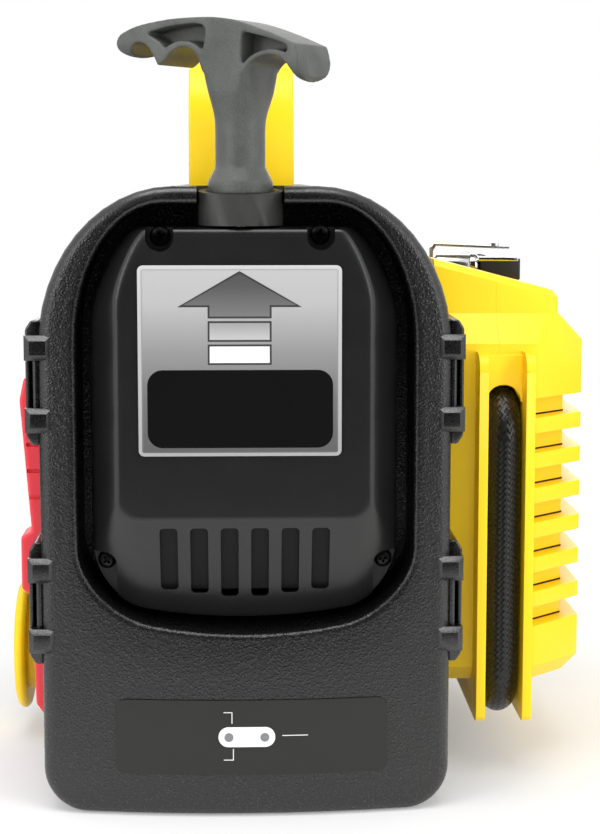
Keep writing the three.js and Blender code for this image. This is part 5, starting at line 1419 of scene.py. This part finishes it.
for node in ("module_inner_shell", "module_outer_shell"):
    shell = node_mesh(node)
    for vert in shell.verts:
        if abs(vert.co.x - SEAM_X) < SEAM_REACH:
            vert.co.x = SEAM_X + math.copysign(HALF_SEAM, vert.co.x - SEAM_X)
    rounded(shell, SHELL_ROUND, 3, 24, off_the_seam)
    shell = cut_by(shell, merged(corner_waste(WALL_NEAR, 1), corner_waste(WALL_FAR, -1)))
    print(node, "faces:", len(shell.faces))
    finish_piece("rounded_" + node, shell, yellow, "case", "yellow", [node], sharp=50)

# %% [markdown]
# A lip with a round arch closes the top of the hose's channel. It is an outline with a half
# circle in it, run a few millimetres along Y, and its edges are rounded like the shells'.

# %% The arch lip over the hose
LIP_X, LIP_HALF, LIP_Z, LIP_RADIUS, LIP_TOP = 125.5, 9.3, 183.4, 8.38, 206.6
LIP_NEAR, LIP_FAR, LIP_ROUND, LIP_STEPS = 58.6, 66.0, 1.0, 20
lip_points = [Vector((LIP_X + x, 0, z)) for x, z in (
    (-LIP_HALF, LIP_Z), (-LIP_HALF, LIP_TOP), (LIP_HALF, LIP_TOP), (LIP_HALF, LIP_Z))]
lip_points += [Vector((LIP_X + LIP_RADIUS * math.cos(a), 0, LIP_Z + LIP_RADIUS * math.sin(a)))
               for a in (math.pi * i / LIP_STEPS for i in range(LIP_STEPS + 1))]
lip = rounded(slab(lip_points, LIP_NEAR, LIP_FAR), LIP_ROUND, 3, 40)
print("lip faces:", len(lip.faces))
finish_piece("hose_arch_lip", lip, yellow, "case", "yellow", sharp=50)

# %% [markdown]
# The grooves between the fins let air in through narrow slots. A thin near-black strip that
# follows the module's outer wall in plan lies at the foot of each groove: painted shadow that
# stands for the dark inside of each slot, so the groove looks open there.

# %% The air slots under the fins
FIN_TOP, FIN_PITCH, FIN_HEIGHT, FIN_COUNT = 184.8, 17.3, 9.7, 7
SLOT_DROP, SLOT_RISE, SLOT_DEPTH = 0.2, 0.8, 0.8
wall_line = [(139.3, 71.55), (160.0, 92.25), (160.0, 187.75), (139.3, 208.45)]
slot_line = [(139.42, 71.35), (160.25, 92.05), (160.25, 187.95), (139.42, 208.65)]
plan = slot_line + [(x - SLOT_DEPTH, y) for x, y in reversed(wall_line)]
slots = []
for i in range(FIN_COUNT):
    low = FIN_TOP - i * FIN_PITCH - FIN_HEIGHT
    slots.append(skin([
        [Vector((x, y, z)) for x, y in plan] for z in (low - SLOT_DROP, low + SLOT_RISE)]))
print("air slots:", len(slots))
finish_piece("fin_slot_shadows", merged(*slots), slot_shadow_black, "case", "case_black")

# %% [markdown]
# ## The cover clips
# Four clips on each cover hold it to the body. Each is a bar on the side with two hooks that
# reach over the cover's edge, and between the hooks a slim rod shows in a window. A hook is
# a claw with a chamfered front, joined to a deeper root. The bar, the hooks and the rod are
# rounded one by one and put together, because all their edges are soft on the moulding.
# One clip is built, and the others are copies of it, mirrored to the other sides.

# %% A clip and its mirror images
CLIP_IN, CLIP_OUT, CLIP_FRONT, CLIP_BACK, CLIP_HEIGHT = 93.6, 99.8, -2.8, 54.8, 57.0
BAR_FRONT, BAR_TAPER, BAR_SLOPE = 5.0, 2.6, 4.0
HOOK_PITCH, HOOK_HEIGHT, HOOK_REACH, HOOK_CHAMFER = 33.0, 11.4, 87.3, 2.5
CLAW_BACK, ROOT_FRONT, ROOT_BACK = 3.4, 1.2, 9.0
WINDOW_BACK, ROD_RADIUS, ROD_HALF, ROD_Y = 15, 1.7, 13, 4.4


def on_the_front(edge):
    return all(v.co.y < CLIP_FRONT + 0.1 for v in edge.verts)


def clip_shape():
    """A clip about Z = 0 on the right of the near cover."""
    half, taper = CLIP_HEIGHT / 2, CLIP_OUT - BAR_TAPER
    bar = skin([[Vector((x, y, z)) for x, z in (
        (CLIP_IN, -half), (taper, -half), (CLIP_OUT, -half + BAR_SLOPE),
        (CLIP_OUT, half - BAR_SLOPE), (taper, half), (CLIP_IN, half))]
        for y in (BAR_FRONT, CLIP_BACK)])
    window = HOOK_PITCH / 2 - HOOK_HEIGHT / 2 + 1
    bar = cut_by(bar, block(CLIP_IN - 4, CLIP_OUT - 2, 0, WINDOW_BACK, -window, window))
    parts = [rounded(bar, 1.0, 3)]
    for side in (-1, 1):
        low, high = (side * HOOK_PITCH / 2 + end * HOOK_HEIGHT / 2 for end in (-1, 1))
        claw = rounded(block(HOOK_REACH, CLIP_OUT, CLIP_FRONT, CLAW_BACK, low, high),
                       HOOK_CHAMFER, 1, 30, on_the_front)
        root = rounded(block(CLIP_IN, CLIP_OUT, ROOT_FRONT, ROOT_BACK, low, high), 0.8, 2, 30)
        parts.append(rounded(joined_with(claw, root), 0.45, 2, 20))
    rod = turned([(0, -ROD_HALF), (ROD_RADIUS, -ROD_HALF), (ROD_RADIUS, ROD_HALF),
                  (0, ROD_HALF)], 20)
    return merged(*parts, moved(rod, CLIP_IN + 1.2, ROD_Y))


for node in [n for n in frame["nodes"] if "_clip_" in n]:
    low, high = node_box(node)
    clip = moved(clip_shape(), z=(low.z + high.z) / 2)
    if low.x < 0:
        stretched(clip, x=-1)
    if low.y > CASE_BACK / 2:
        moved(stretched(clip, y=-1), y=CASE_BACK)
    bmesh.ops.recalc_face_normals(clip, faces=clip.faces)
    print(node, "faces:", len(clip.faces))
    finish_piece("moulded_" + node, clip, clip_black, "case", "case_black", [node], sharp=45)

# %% [markdown]
# ## The carry handle
# A broad yellow strap arches over the case from front to back. It is one thick moulding, so
# all its long edges are generously rounded in the mesh.

# %% The carry handle
STRAP_ROUND = 2.6
strap = rounded(node_mesh("carry_handle"), STRAP_ROUND, 4, 30)
print("carry handle faces:", len(strap.faces))
finish_piece("carry_handle_moulding", strap, yellow, "case", "yellow", ["carry_handle"], sharp=50)

# %% [markdown]
# ## The air chuck
# The hose ends in a thumb chuck that lies in a cradle in the module's roof: a plated barrel,
# a black grip block with a plated strap on top, and a thin sprung lever with a rivet. The
# lever is bent from strip, so its edges are only just broken.

# %% Grip block, strap and rivet
GRIP_LEFT, GRIP_TOP, GRIP_LENGTH = 122.6, 250.2, 14
SLEEVE_Y, SLEEVE_Z, RING_Y, RING_Z = 160.4, 243.4, 6.9, 246.0
RIVET_X, RIVET_SUNK = 131.2, 2.8
grip_low, grip_high = node_box("chuck_grip")
grip_block = rounded(block(GRIP_LEFT, grip_high.x, grip_low.y, grip_low.y + GRIP_LENGTH,
                           grip_low.z, GRIP_TOP), 1.0, 3)
sleeve = turned([(0, 0), (7.0, 0), (7.4, 0.6), (7.4, 9.0), (6.6, 13.4), (0, 13.4)], 32, "Y")
moved(sleeve, HOSE_X, SLEEVE_Y, SLEEVE_Z)
finish_piece("chuck_grip_block", merged(grip_block, sleeve), grip_black, "case",
             "black_grip", ["chuck_grip"], sharp=45)
plated_strap = rounded(block(
    GRIP_LEFT - 1.2, grip_high.x - 1.0, grip_low.y - 0.4, grip_low.y + GRIP_LENGTH - 1,
    GRIP_TOP - 1.6, GRIP_TOP + 0.5), 0.5, 2)
barrel_ring = turned([(0, 0), (5.9, 0), (6.3, 0.8), (6.3, 3.4), (5.4, 4.4), (0, 4.4)], 32, "X")
moved(barrel_ring, GRIP_LEFT - 5.2, (grip_low.y + grip_high.y) / 2 - RING_Y, RING_Z)
finish_piece("chuck_strap", merged(plated_strap, barrel_ring), chrome, "case", "chrome",
             sharp=45)
rivet = turned([(0, 0), (1.9, 0), (1.9, 2.0), (1.5, 2.6), (0, 2.7)], 24)
lever_low, lever_high = node_box("chuck_lever")
moved(rivet, RIVET_X, (lever_low.y + lever_high.y) / 2, lever_high.z - RIVET_SUNK)
print("chuck lever top, mm:", round(lever_high.z, 1))
finish_piece("lever_rivet", rivet, chrome, "chuck_lever", "chrome", sharp=40)
softened("chuck_lever", steel, 0.25, 2, slot="chrome")
softened("chuck_barrel", chrome, 0.4, 3, slot="chrome")

# %% [markdown]
# ## The battery clamps
# The clamps lie in bays on the left side, and their handles are plain moulded levers with
# grip grooves. A lever is remeshed and relaxed like the pull handle, which turns its
# straight chamfers into the rounded ones of a moulding. The grooves are cut after that, so
# that they stay crisp.

# %% Clamp levers
LEVER_VOXEL, LEVER_RELAX = 0.62, 14
GROOVE_TOP, GROOVE_PITCH, GROOVE_COUNT, GROOVE_HEIGHT, GROOVE_DEPTH = 162.5, 12.9, 3, 1.9, 1.8


def clamp_lever(node, material, slot):
    low, high = node_box(node)
    lever = remeshed(node_mesh(node), LEVER_VOXEL, LEVER_RELAX)
    grooves = []
    for n in range(GROOVE_COUNT):
        z = GROOVE_TOP - n * GROOVE_PITCH
        for edge in (low.y, high.y):
            grooves.append(rounded(block(
                low.x + 3.5, high.x + 2, edge - GROOVE_DEPTH, edge + GROOVE_DEPTH,
                z, z + GROOVE_HEIGHT), 0.4, 2))
    lever = cut_by(lever, merged(*grooves))
    body = frame["nodes"][node]["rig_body"]
    print(node, "faces:", len(lever.faces))
    finish_piece("moulded_" + node, lever, material, body, slot, [node], sharp=80)


clamp_black = moulded("clamp_black", linear(34, 34, 35), 0.34, 0.7, 0.02, 0.45, cloud=0.15)
for colour, plastic, slot in (
        ("red", clamp_red, "red"), ("black", clamp_black, "black_grip")):
    for part in ("inner", "outer"):
        clamp_lever(f"{colour}_clamp_{part}_lever", plastic, slot)
        softened(f"{colour}_clamp_{part}_jaw", copper, 0.2, 2, slot="copper")
    softened(f"{colour}_clamp_pivot", steel, 0.4, 3, slot="steel")

# %% [markdown]
# ## The battery switch
# A large round knob of the same yellow as the handle turns on a black base. Its CAD shape
# has the right grip but is a little slim, so its copy is stretched about its seat. Then it
# is remeshed to round the rim and the grip bar alike.

# %% The knob and its base
KNOB_DEEPER, KNOB_WIDER, KNOB_RELAX = 1.1, 1.05, 5
knob = node_mesh("battery_switch_knob")
low, high = node_box("battery_switch_knob")
seat = Vector((high.x, (low.y + high.y) / 2, (low.z + high.z) / 2))
moved(stretched(moved(knob, *-seat), KNOB_DEEPER, KNOB_WIDER, KNOB_WIDER), *seat)
knob = remeshed(knob, VOXEL, KNOB_RELAX)
print("knob faces:", len(knob.faces))
finish_piece("battery_switch_knob_moulding", knob, yellow, "battery_switch_knob", "yellow",
             ["battery_switch_knob"], sharp=80)
softened("battery_switch_body", plain_black, 0.7, 3, slot="case_black")

# %% [markdown]
# ## The pressure gauge
# The gauge is a black cup with a plated ring, a white dial with printed marks and figures,
# a red needle and a clear lens. The cup, the ring and the dial are spun from their
# profiles, which are written as they lie along X.

# %% Cup, ring and dial
GAUGE_Y, GAUGE_Z, DIAL_X = 116.0, 174.0, -94.98
cup = turned([
    (0, -81), (19.2, -81), (19.2, -97.6), (21.6, -97.6), (21.8, -98.0), (21.8, -99.0),
    (21.2, -99.7), (20.0, -99.8), (19.0, -99.6), (19.0, DIAL_X + 0.4), (0, DIAL_X + 0.4)],
    64, "X")
finish_piece("gauge_cup", moved(cup, 0, GAUGE_Y, GAUGE_Z), clip_black, "case", "case_black",
             ["gauge_body"], sharp=30)
ring = turned([(17.8, -95.2), (19.1, -95.2), (19.1, -99.7), (18.7, -99.9), (18.2, -99.8),
               (17.8, -99.3), (17.8, -95.2)], 64, "X")
finish_piece("gauge_ring", moved(ring, 0, GAUGE_Y, GAUGE_Z), chrome, "case", "chrome", sharp=30)
dial = turned([(0, DIAL_X + 0.6), (18.0, DIAL_X + 0.6), (18.0, DIAL_X), (0, DIAL_X)], 64, "X")
finish_piece("gauge_dial", moved(dial, 0, GAUGE_Y, GAUGE_Z), dial_white, "case", "window",
             sharp=30)
print("gauge middle, mm:", GAUGE_Y, GAUGE_Z)

# %% [markdown]
# The marks are thin plates that are made once at the top of the dial and turned round its
# middle. The figures are text objects that are made into meshes, turned to face the left,
# and laid on the dial.

# %% Marks and figures
SWEEP_START, SWEEP, MARKS, FIRST_RED = -135, 270, 30, 25
MARK_TOP, LONG_MARK, SHORT_MARK = 16.6, (0.28, 13.0), (0.16, 14.6)
FIGURES, FIGURE_STEP, FIGURE_SIZE, FIGURE_RING = 7, 50, 3.4, 10.4
marks, red_marks = [], []
for n in range(MARKS + 1):
    half, foot = SHORT_MARK if n % 5 else LONG_MARK
    turn = math.radians(SWEEP_START + SWEEP * n / MARKS)
    mark = swung(block(DIAL_X - 0.12, DIAL_X + 0.2, -half, half, foot, MARK_TOP), turn, "X")
    (marks if n < FIRST_RED else red_marks).append(moved(mark, 0, GAUGE_Y, GAUGE_Z))
finish_piece("gauge_marks", merged(*marks), outline_ink, "case", "label_dark")
finish_piece("gauge_red_marks", merged(*red_marks), clamp_red, "case", "red")


def lettering(words, size, x, y, z):
    """Flat figures that face -X, made a mesh before they are placed."""
    text = bpy.data.curves.new(words, "FONT")
    text.body, text.size, text.extrude = words, size, 0.08
    text.align_x, text.align_y = "CENTER", "CENTER"
    holder = bpy.data.objects.new(words, text)
    bpy.context.scene.collection.objects.link(holder)
    bpy.context.view_layer.update()
    bm = bmesh.new()
    mesh = bpy.data.meshes.new_from_object(holder)
    bm.from_mesh(mesh)
    bpy.data.meshes.remove(mesh)
    bpy.data.objects.remove(holder)
    bpy.data.curves.remove(text)
    facing = Matrix(((0, 0, -1), (-1, 0, 0), (0, 1, 0)))
    bmesh.ops.rotate(bm, verts=bm.verts, matrix=facing)
    return moved(bm, x, y, z)


figures = []
for n in range(FIGURES):
    turn = math.radians(SWEEP_START + SWEEP * n / (FIGURES - 1))
    figures.append(lettering(
        str(n * FIGURE_STEP), FIGURE_SIZE, DIAL_X - 0.05,
        GAUGE_Y - FIGURE_RING * math.sin(turn), GAUGE_Z + FIGURE_RING * math.cos(turn)))
print("marks:", len(marks) + len(red_marks), "figures:", len(figures))
finish_piece("gauge_figures", merged(*figures), outline_ink, "case", "label_dark")
softened("gauge_needle", clamp_red, 0.15, 2, slot="red")
glass = turned([(0, -98.4), (17.6, -98.4), (17.6, -99.0), (16.6, -99.3), (9.0, -99.5),
                (0, -99.5)], 64, "X")
finish_piece("gauge_glass_lens", moved(glass, 0, GAUGE_Y, GAUGE_Z), gauge_glass, "case",
             "clear", ["gauge_lens"], sharp=30)

# %% [markdown]
# ## The work light
# Behind a domed clear lens a plated bowl holds a cluster of small lamps. The bowl and the
# lens are spun profiles, and the lamps are small spun domes set in rings.

# %% Lens, bowl and lamps
LIGHT_Y, LIGHT_Z, LIGHT_RADIUS, BULB_RINGS = 164.0, 174.0, 18.3, ((1, 0.0), (6, 5.2))
lens = turned([
    (0, -101.9), (5.0, -101.7), (10.0, -101.0), (14.4, -99.8), (17.2, -98.4),
    (LIGHT_RADIUS, -97.0), (LIGHT_RADIUS, -95.8), (16.6, -95.8), (14.0, -98.2),
    (10.0, -99.6), (5.0, -100.4), (0, -100.6)], 64, "X")
finish_piece("work_light_dome", moved(lens, 0, LIGHT_Y, LIGHT_Z), light_lens, "case", "clear",
             ["work_light_lens"], sharp=40)
bowl = turned([
    (0, -89.5), (9.0, -89.6), (13.0, -91.6), (16.2, -95.0), (17.0, -95.9), (17.6, -95.9),
    (18.0, -95.4), (14.0, -90.0), (9.6, -88.4), (0, -88.2)], 64, "X")
finish_piece("light_bowl", moved(bowl, 0, LIGHT_Y, LIGHT_Z), chrome, "case", "chrome", sharp=40)
bulbs = []
for count, radius in BULB_RINGS:
    for n in range(count):
        a = math.tau * n / count
        bulb = turned([(0, -89.3), (2.1, -89.3), (2.1, -91.6), (1.7, -92.9), (0.9, -93.6),
                       (0, -93.8)], 20, "X")
        bulbs.append(moved(
            bulb, 0, LIGHT_Y + radius * math.cos(a), LIGHT_Z + radius * math.sin(a)))
print("bulbs:", len(bulbs))
finish_piece("light_bulbs", merged(*bulbs), window_white, "case", "window", sharp=40)

# %% [markdown]
# ## Switches, socket and panel
# The rest of the console is small mouldings whose CAD shapes are right. They get rounded
# edges, and the socket's cap gets a raised ring with ribs, so that a thumb can lift it.

# %% The console's mouldings
softened("console_panel", charcoal, 0.8, 3, slot="generator_grey")
softened("compressor_switch", clip_black, 0.7, 3, slot="case_black")
softened("light_switch", clip_black, 0.7, 3, slot="case_black")
softened("battery_test_button", clamp_red, 0.6, 3, slot="red")
softened("power_socket", steel, 0.4, 2, slot="steel")
softened("socket_cap", grip_black, 0.7, 3, slot="black_grip")
SOCKET_Y, SOCKET_Z, CAP_RISE, RIB_HALF = 116.0, 112.0, 1.9, 6.0
cap_front = node_box("socket_cap")[0].x + CAP_RISE
cap_ring = turned([(9.0, cap_front + 0.8), (9.0, cap_front - 0.4), (9.5, cap_front - 0.8),
                   (10.5, cap_front - 0.8), (11.0, cap_front - 0.4), (11.0, cap_front + 0.8)],
                  48, "X")
ribs = [rounded(block(
    cap_front - 0.7, cap_front + 0.8, -RIB_HALF, RIB_HALF, z - 0.7, z + 0.7), 0.3, 2)
    for z in (-4.0, 0.0, 4.0)]
print("socket cap ribs:", len(ribs))
finish_piece("socket_cap_grip", moved(merged(cap_ring, *ribs), 0, SOCKET_Y, SOCKET_Z),
             grip_black, "socket_cap", "black_grip", sharp=40)

# %% [markdown]
# ## The rope collar
# The collar guides the rope where it leaves the case. Its top slopes up to the cover's top
# behind it, and a round seat in it holds the foot of the handle.

# %% A collar with a sloping top
COLLAR_RISE, SEAT_SLACK, SEAT_HEIGHT = 3.6, 1.2, 9
collar = node_mesh("rope_collar")
low, high = node_box("rope_collar")
for v in collar.verts:
    if v.co.z > high.z - 0.5:
        v.co.z += COLLAR_RISE * (v.co.y - low.y) / (high.y - low.y)
seat_radius, seat_top = FOOT_RADIUS + SEAT_SLACK, high.z + SEAT_HEIGHT
handle_seat = moved(turned([
    (0, high.z), (seat_radius, high.z), (seat_radius, seat_top), (0, seat_top)], 48),
    ROPE_X, ROPE_Y)
collar = rounded(cut_by(collar, handle_seat), 0.6, 2, 35)
print("collar faces:", len(collar.faces))
finish_piece("rope_collar_moulding", collar, collar_grey, "case", "generator_grey",
             ["rope_collar"], sharp=40)

# %% [markdown]
# ## The remaining CAD nodes
# The main body's CAD shape is already right, so it only needs soft edges: its copy is merged
# and bevelled, and it stands for the node. The small inner parts keep their CAD mesh and
# take a finish on their own material slots.

# %% The body and the painted nodes
softened("main_body", plain_black, 0.8, slot="case_black")
PAINT = {
    "case_black": plain_black, "generator_grey": charcoal, "handle_grey": handle_grey,
    "yellow": yellow, "red": clamp_red, "black_grip": grip_black, "rope_braid": rope_braid,
    "hose_braid": hose_braid, "steel": steel, "chrome": chrome, "copper": copper,
    "label_silver": plate_silver, "label_dark": label_dark, "window": window_white,
    "lamp": lamp_grey, "clear": gauge_glass, "board_green": board_green,
    "battery_case": battery_grey,
}
slot_of = {row["node"]: row["material_slot"] for row in frame["record"]["subparts"]}
for name, thing in frame["nodes"].items():
    material = PAINT.get(slot_of.get(name), plain_black)
    thing.data.materials.clear()
    thing.data.materials.append(material)
print("painted nodes:", len(frame["nodes"]))

# %% [markdown]
# ## The stage
# The object stands on white in soft light. A long lens looks at it from the level of its
# top, turned a little aside and a little down. The lens follows from the focal length in
# pixels of the picture, which is 834 pixels high.

# %% Camera
CAMERA_PLACE = Vector((-2.4, -860.0, 290.5))
YAW, PITCH = math.radians(1.8), math.radians(-7.07)
FOCAL_PIXELS, FRAME_HEIGHT, SENSOR = 1910.0, 834.0, 36.0
forward = Vector((
    math.sin(YAW) * math.cos(PITCH), math.cos(YAW) * math.cos(PITCH), math.sin(PITCH)))
right = Vector((math.cos(YAW), -math.sin(YAW), 0.0))
up = right.cross(forward)
camera = bpy.data.objects.new("camera", bpy.data.cameras.new("camera"))
camera.data.sensor_fit, camera.data.sensor_height = "VERTICAL", SENSOR
camera.data.lens = FOCAL_PIXELS / FRAME_HEIGHT * SENSOR
camera.matrix_world = Matrix.Translation(TO_FRAME @ CAMERA_PLACE) @ Matrix(
    (right, up, -forward)).transposed().to_4x4()
bpy.context.scene.collection.objects.link(camera)
bpy.context.scene.camera = camera
bpy.context.scene.view_settings.view_transform = "Standard"
print("lens, mm:", round(camera.data.lens, 2))

# %% [markdown]
# Large area lamps give broad soft highlights, and those show the shape of smooth plastic.
# One hangs above, one stands at each side, one behind, which the camera doesn't see, and
# one in front, which fills the dark face and isn't reflected in it.

# %% Lamps and floor
CASE_MIDDLE, FLOOR_HALF, FLOOR_DROP = (20, 120, 170), 6.0, 0.0004


def softbox(name, place, aim, size, watts):
    lamp = bpy.data.lights.new(name, "AREA")
    lamp.shape, lamp.size, lamp.size_y, lamp.energy = "RECTANGLE", *size, watts
    holder = bpy.data.objects.new(name, lamp)
    place, aim = TO_FRAME @ Vector(place), TO_FRAME @ Vector(aim)
    holder.location = place
    holder.rotation_euler = (aim - place).to_track_quat("-Z", "Y").to_euler()
    bpy.context.scene.collection.objects.link(holder)
    return holder


softbox("top_softbox", (-80, -220, 1250), CASE_MIDDLE, (1.0, 0.6), 7.0)
softbox("left_softbox", (-900, -850, 560), CASE_MIDDLE, (0.4, 0.8), 5.0)
softbox("right_softbox", (950, -850, 520), CASE_MIDDLE, (0.4, 0.8), 5.0)
back = softbox("back_softbox", (20, 1300, 540), CASE_MIDDLE, (1.2, 0.5), 4.0)
back.visible_camera = False
fill = softbox("front_softbox", (60, -1350, 420), CASE_MIDDLE, (0.6, 0.6), 4.0)
fill.visible_glossy = False

floor_mesh = bmesh.new()
bmesh.ops.create_grid(floor_mesh, x_segments=1, y_segments=1, size=FLOOR_HALF)
floor = as_object(moved(floor_mesh, z=-FLOOR_DROP), "floor")

# %% [markdown]
# Black gloss plastic in an all-white room looks grey and flat. In a studio, dark cards stand
# round such an object, out of the picture, so that its upright faces reflect something
# dark while slanted edges catch the light. The cards here are seen by reflections alone.

# %% Dark cards for reflections
CARD_DISTANCE, CARD_HALF, CARD_FOOT, FRONT_TOP, SIDE_TOP = 560, 500, 2, 900, 190
CARD_THICKNESS, CARDS_X, CARDS_Y = 4, 20, 130
cards = []
for quarter, low, high, top in (
        (0, -CARD_HALF, CARD_HALF, FRONT_TOP), (1, 0, CARD_HALF, SIDE_TOP),
        (2, -CARD_HALF, CARD_HALF, SIDE_TOP), (3, -CARD_HALF, 0, SIDE_TOP)):
    card = block(
        low, high, -CARD_DISTANCE - CARD_THICKNESS, -CARD_DISTANCE, CARD_FOOT, top)
    cards.append(moved(swung(card, QUARTER * quarter, "Z"), CARDS_X, CARDS_Y))
dark_cards = merged(*cards)
bmesh.ops.transform(dark_cards, matrix=TO_FRAME, verts=dark_cards.verts)
cards_object = as_object(dark_cards, "dark_cards")
card_black = moulded("card_black", linear(30, 30, 30), 0.9, 3.0, 0.01, 0.1)
cards_object.data.materials.append(card_black)
cards_object.visible_camera = cards_object.visible_diffuse = False
cards_object.visible_transmission = cards_object.visible_shadow = False
print("cards:", len(cards))

# %% [markdown]
# Paper that is lit as softly as the object renders a pale grey. A Mix Shader turns it white
# away from the object, where the camera, a reflection or clear plastic sees it, so that
# its edge is never seen and the shadow near the object stays. The world does the same: it
# is white where it is seen, and softer as a light.

# %% White paper and a white world
class Shared(Finish):
    """The same methods for a node tree that has its own end."""

    def __init__(self, tree):
        self.tree = tree


def seen_rays(finish):
    """1 for what the camera, a reflection or clear plastic sees, 0 for light."""
    path = finish.node("LightPath", {}, {})
    camera_ray, glossy, through = (
        Field(finish, path.outputs[key])
        for key in ("Is Camera Ray", "Is Glossy Ray", "Is Transmission Ray"))
    return camera_ray.at_least(glossy.at_least(through))


paper = Finish("floor_paper", {
    "Base Color": (0.86, 0.86, 0.86, 1.0), "Roughness": 0.9, "Specular IOR Level": 0.1})
shown = seen_rays(paper)
NEAR_SHARE, FADE_START, FADE_RUN, AMBIENT = 0.22, 0.22, 0.5, 0.80
reach = paper.read("VectorMath", {"operation": "LENGTH"}, {0: paper.place()}, "Value")
far_share = (reach - FADE_START) / FADE_RUN * shown
glow = paper.node("Emission", {}, {"Color": (1.0, 1.0, 1.0, 1.0), "Strength": 1.0})
blended = paper.node("MixShader", {}, {
    0: far_share.at_most(1.0).at_least(shown * NEAR_SHARE)})
paper.tree.links.new(paper.shader.outputs[0], blended.inputs[1])
paper.tree.links.new(glow.outputs[0], blended.inputs[2])
paper.tree.links.new(blended.outputs[0], paper.tree.nodes["Material Output"].inputs["Surface"])
floor.data.materials.append(paper.material)

world = bpy.data.worlds.new("studio")
world.use_nodes = True
bpy.context.scene.world = world
sky = Shared(world.node_tree)
sky.give(world.node_tree.nodes["Background"], {
    "Color": (1.0, 1.0, 1.0, 1.0), "Strength": seen_rays(sky) * (1 - AMBIENT) + AMBIENT})
print("ambient share:", AMBIENT)
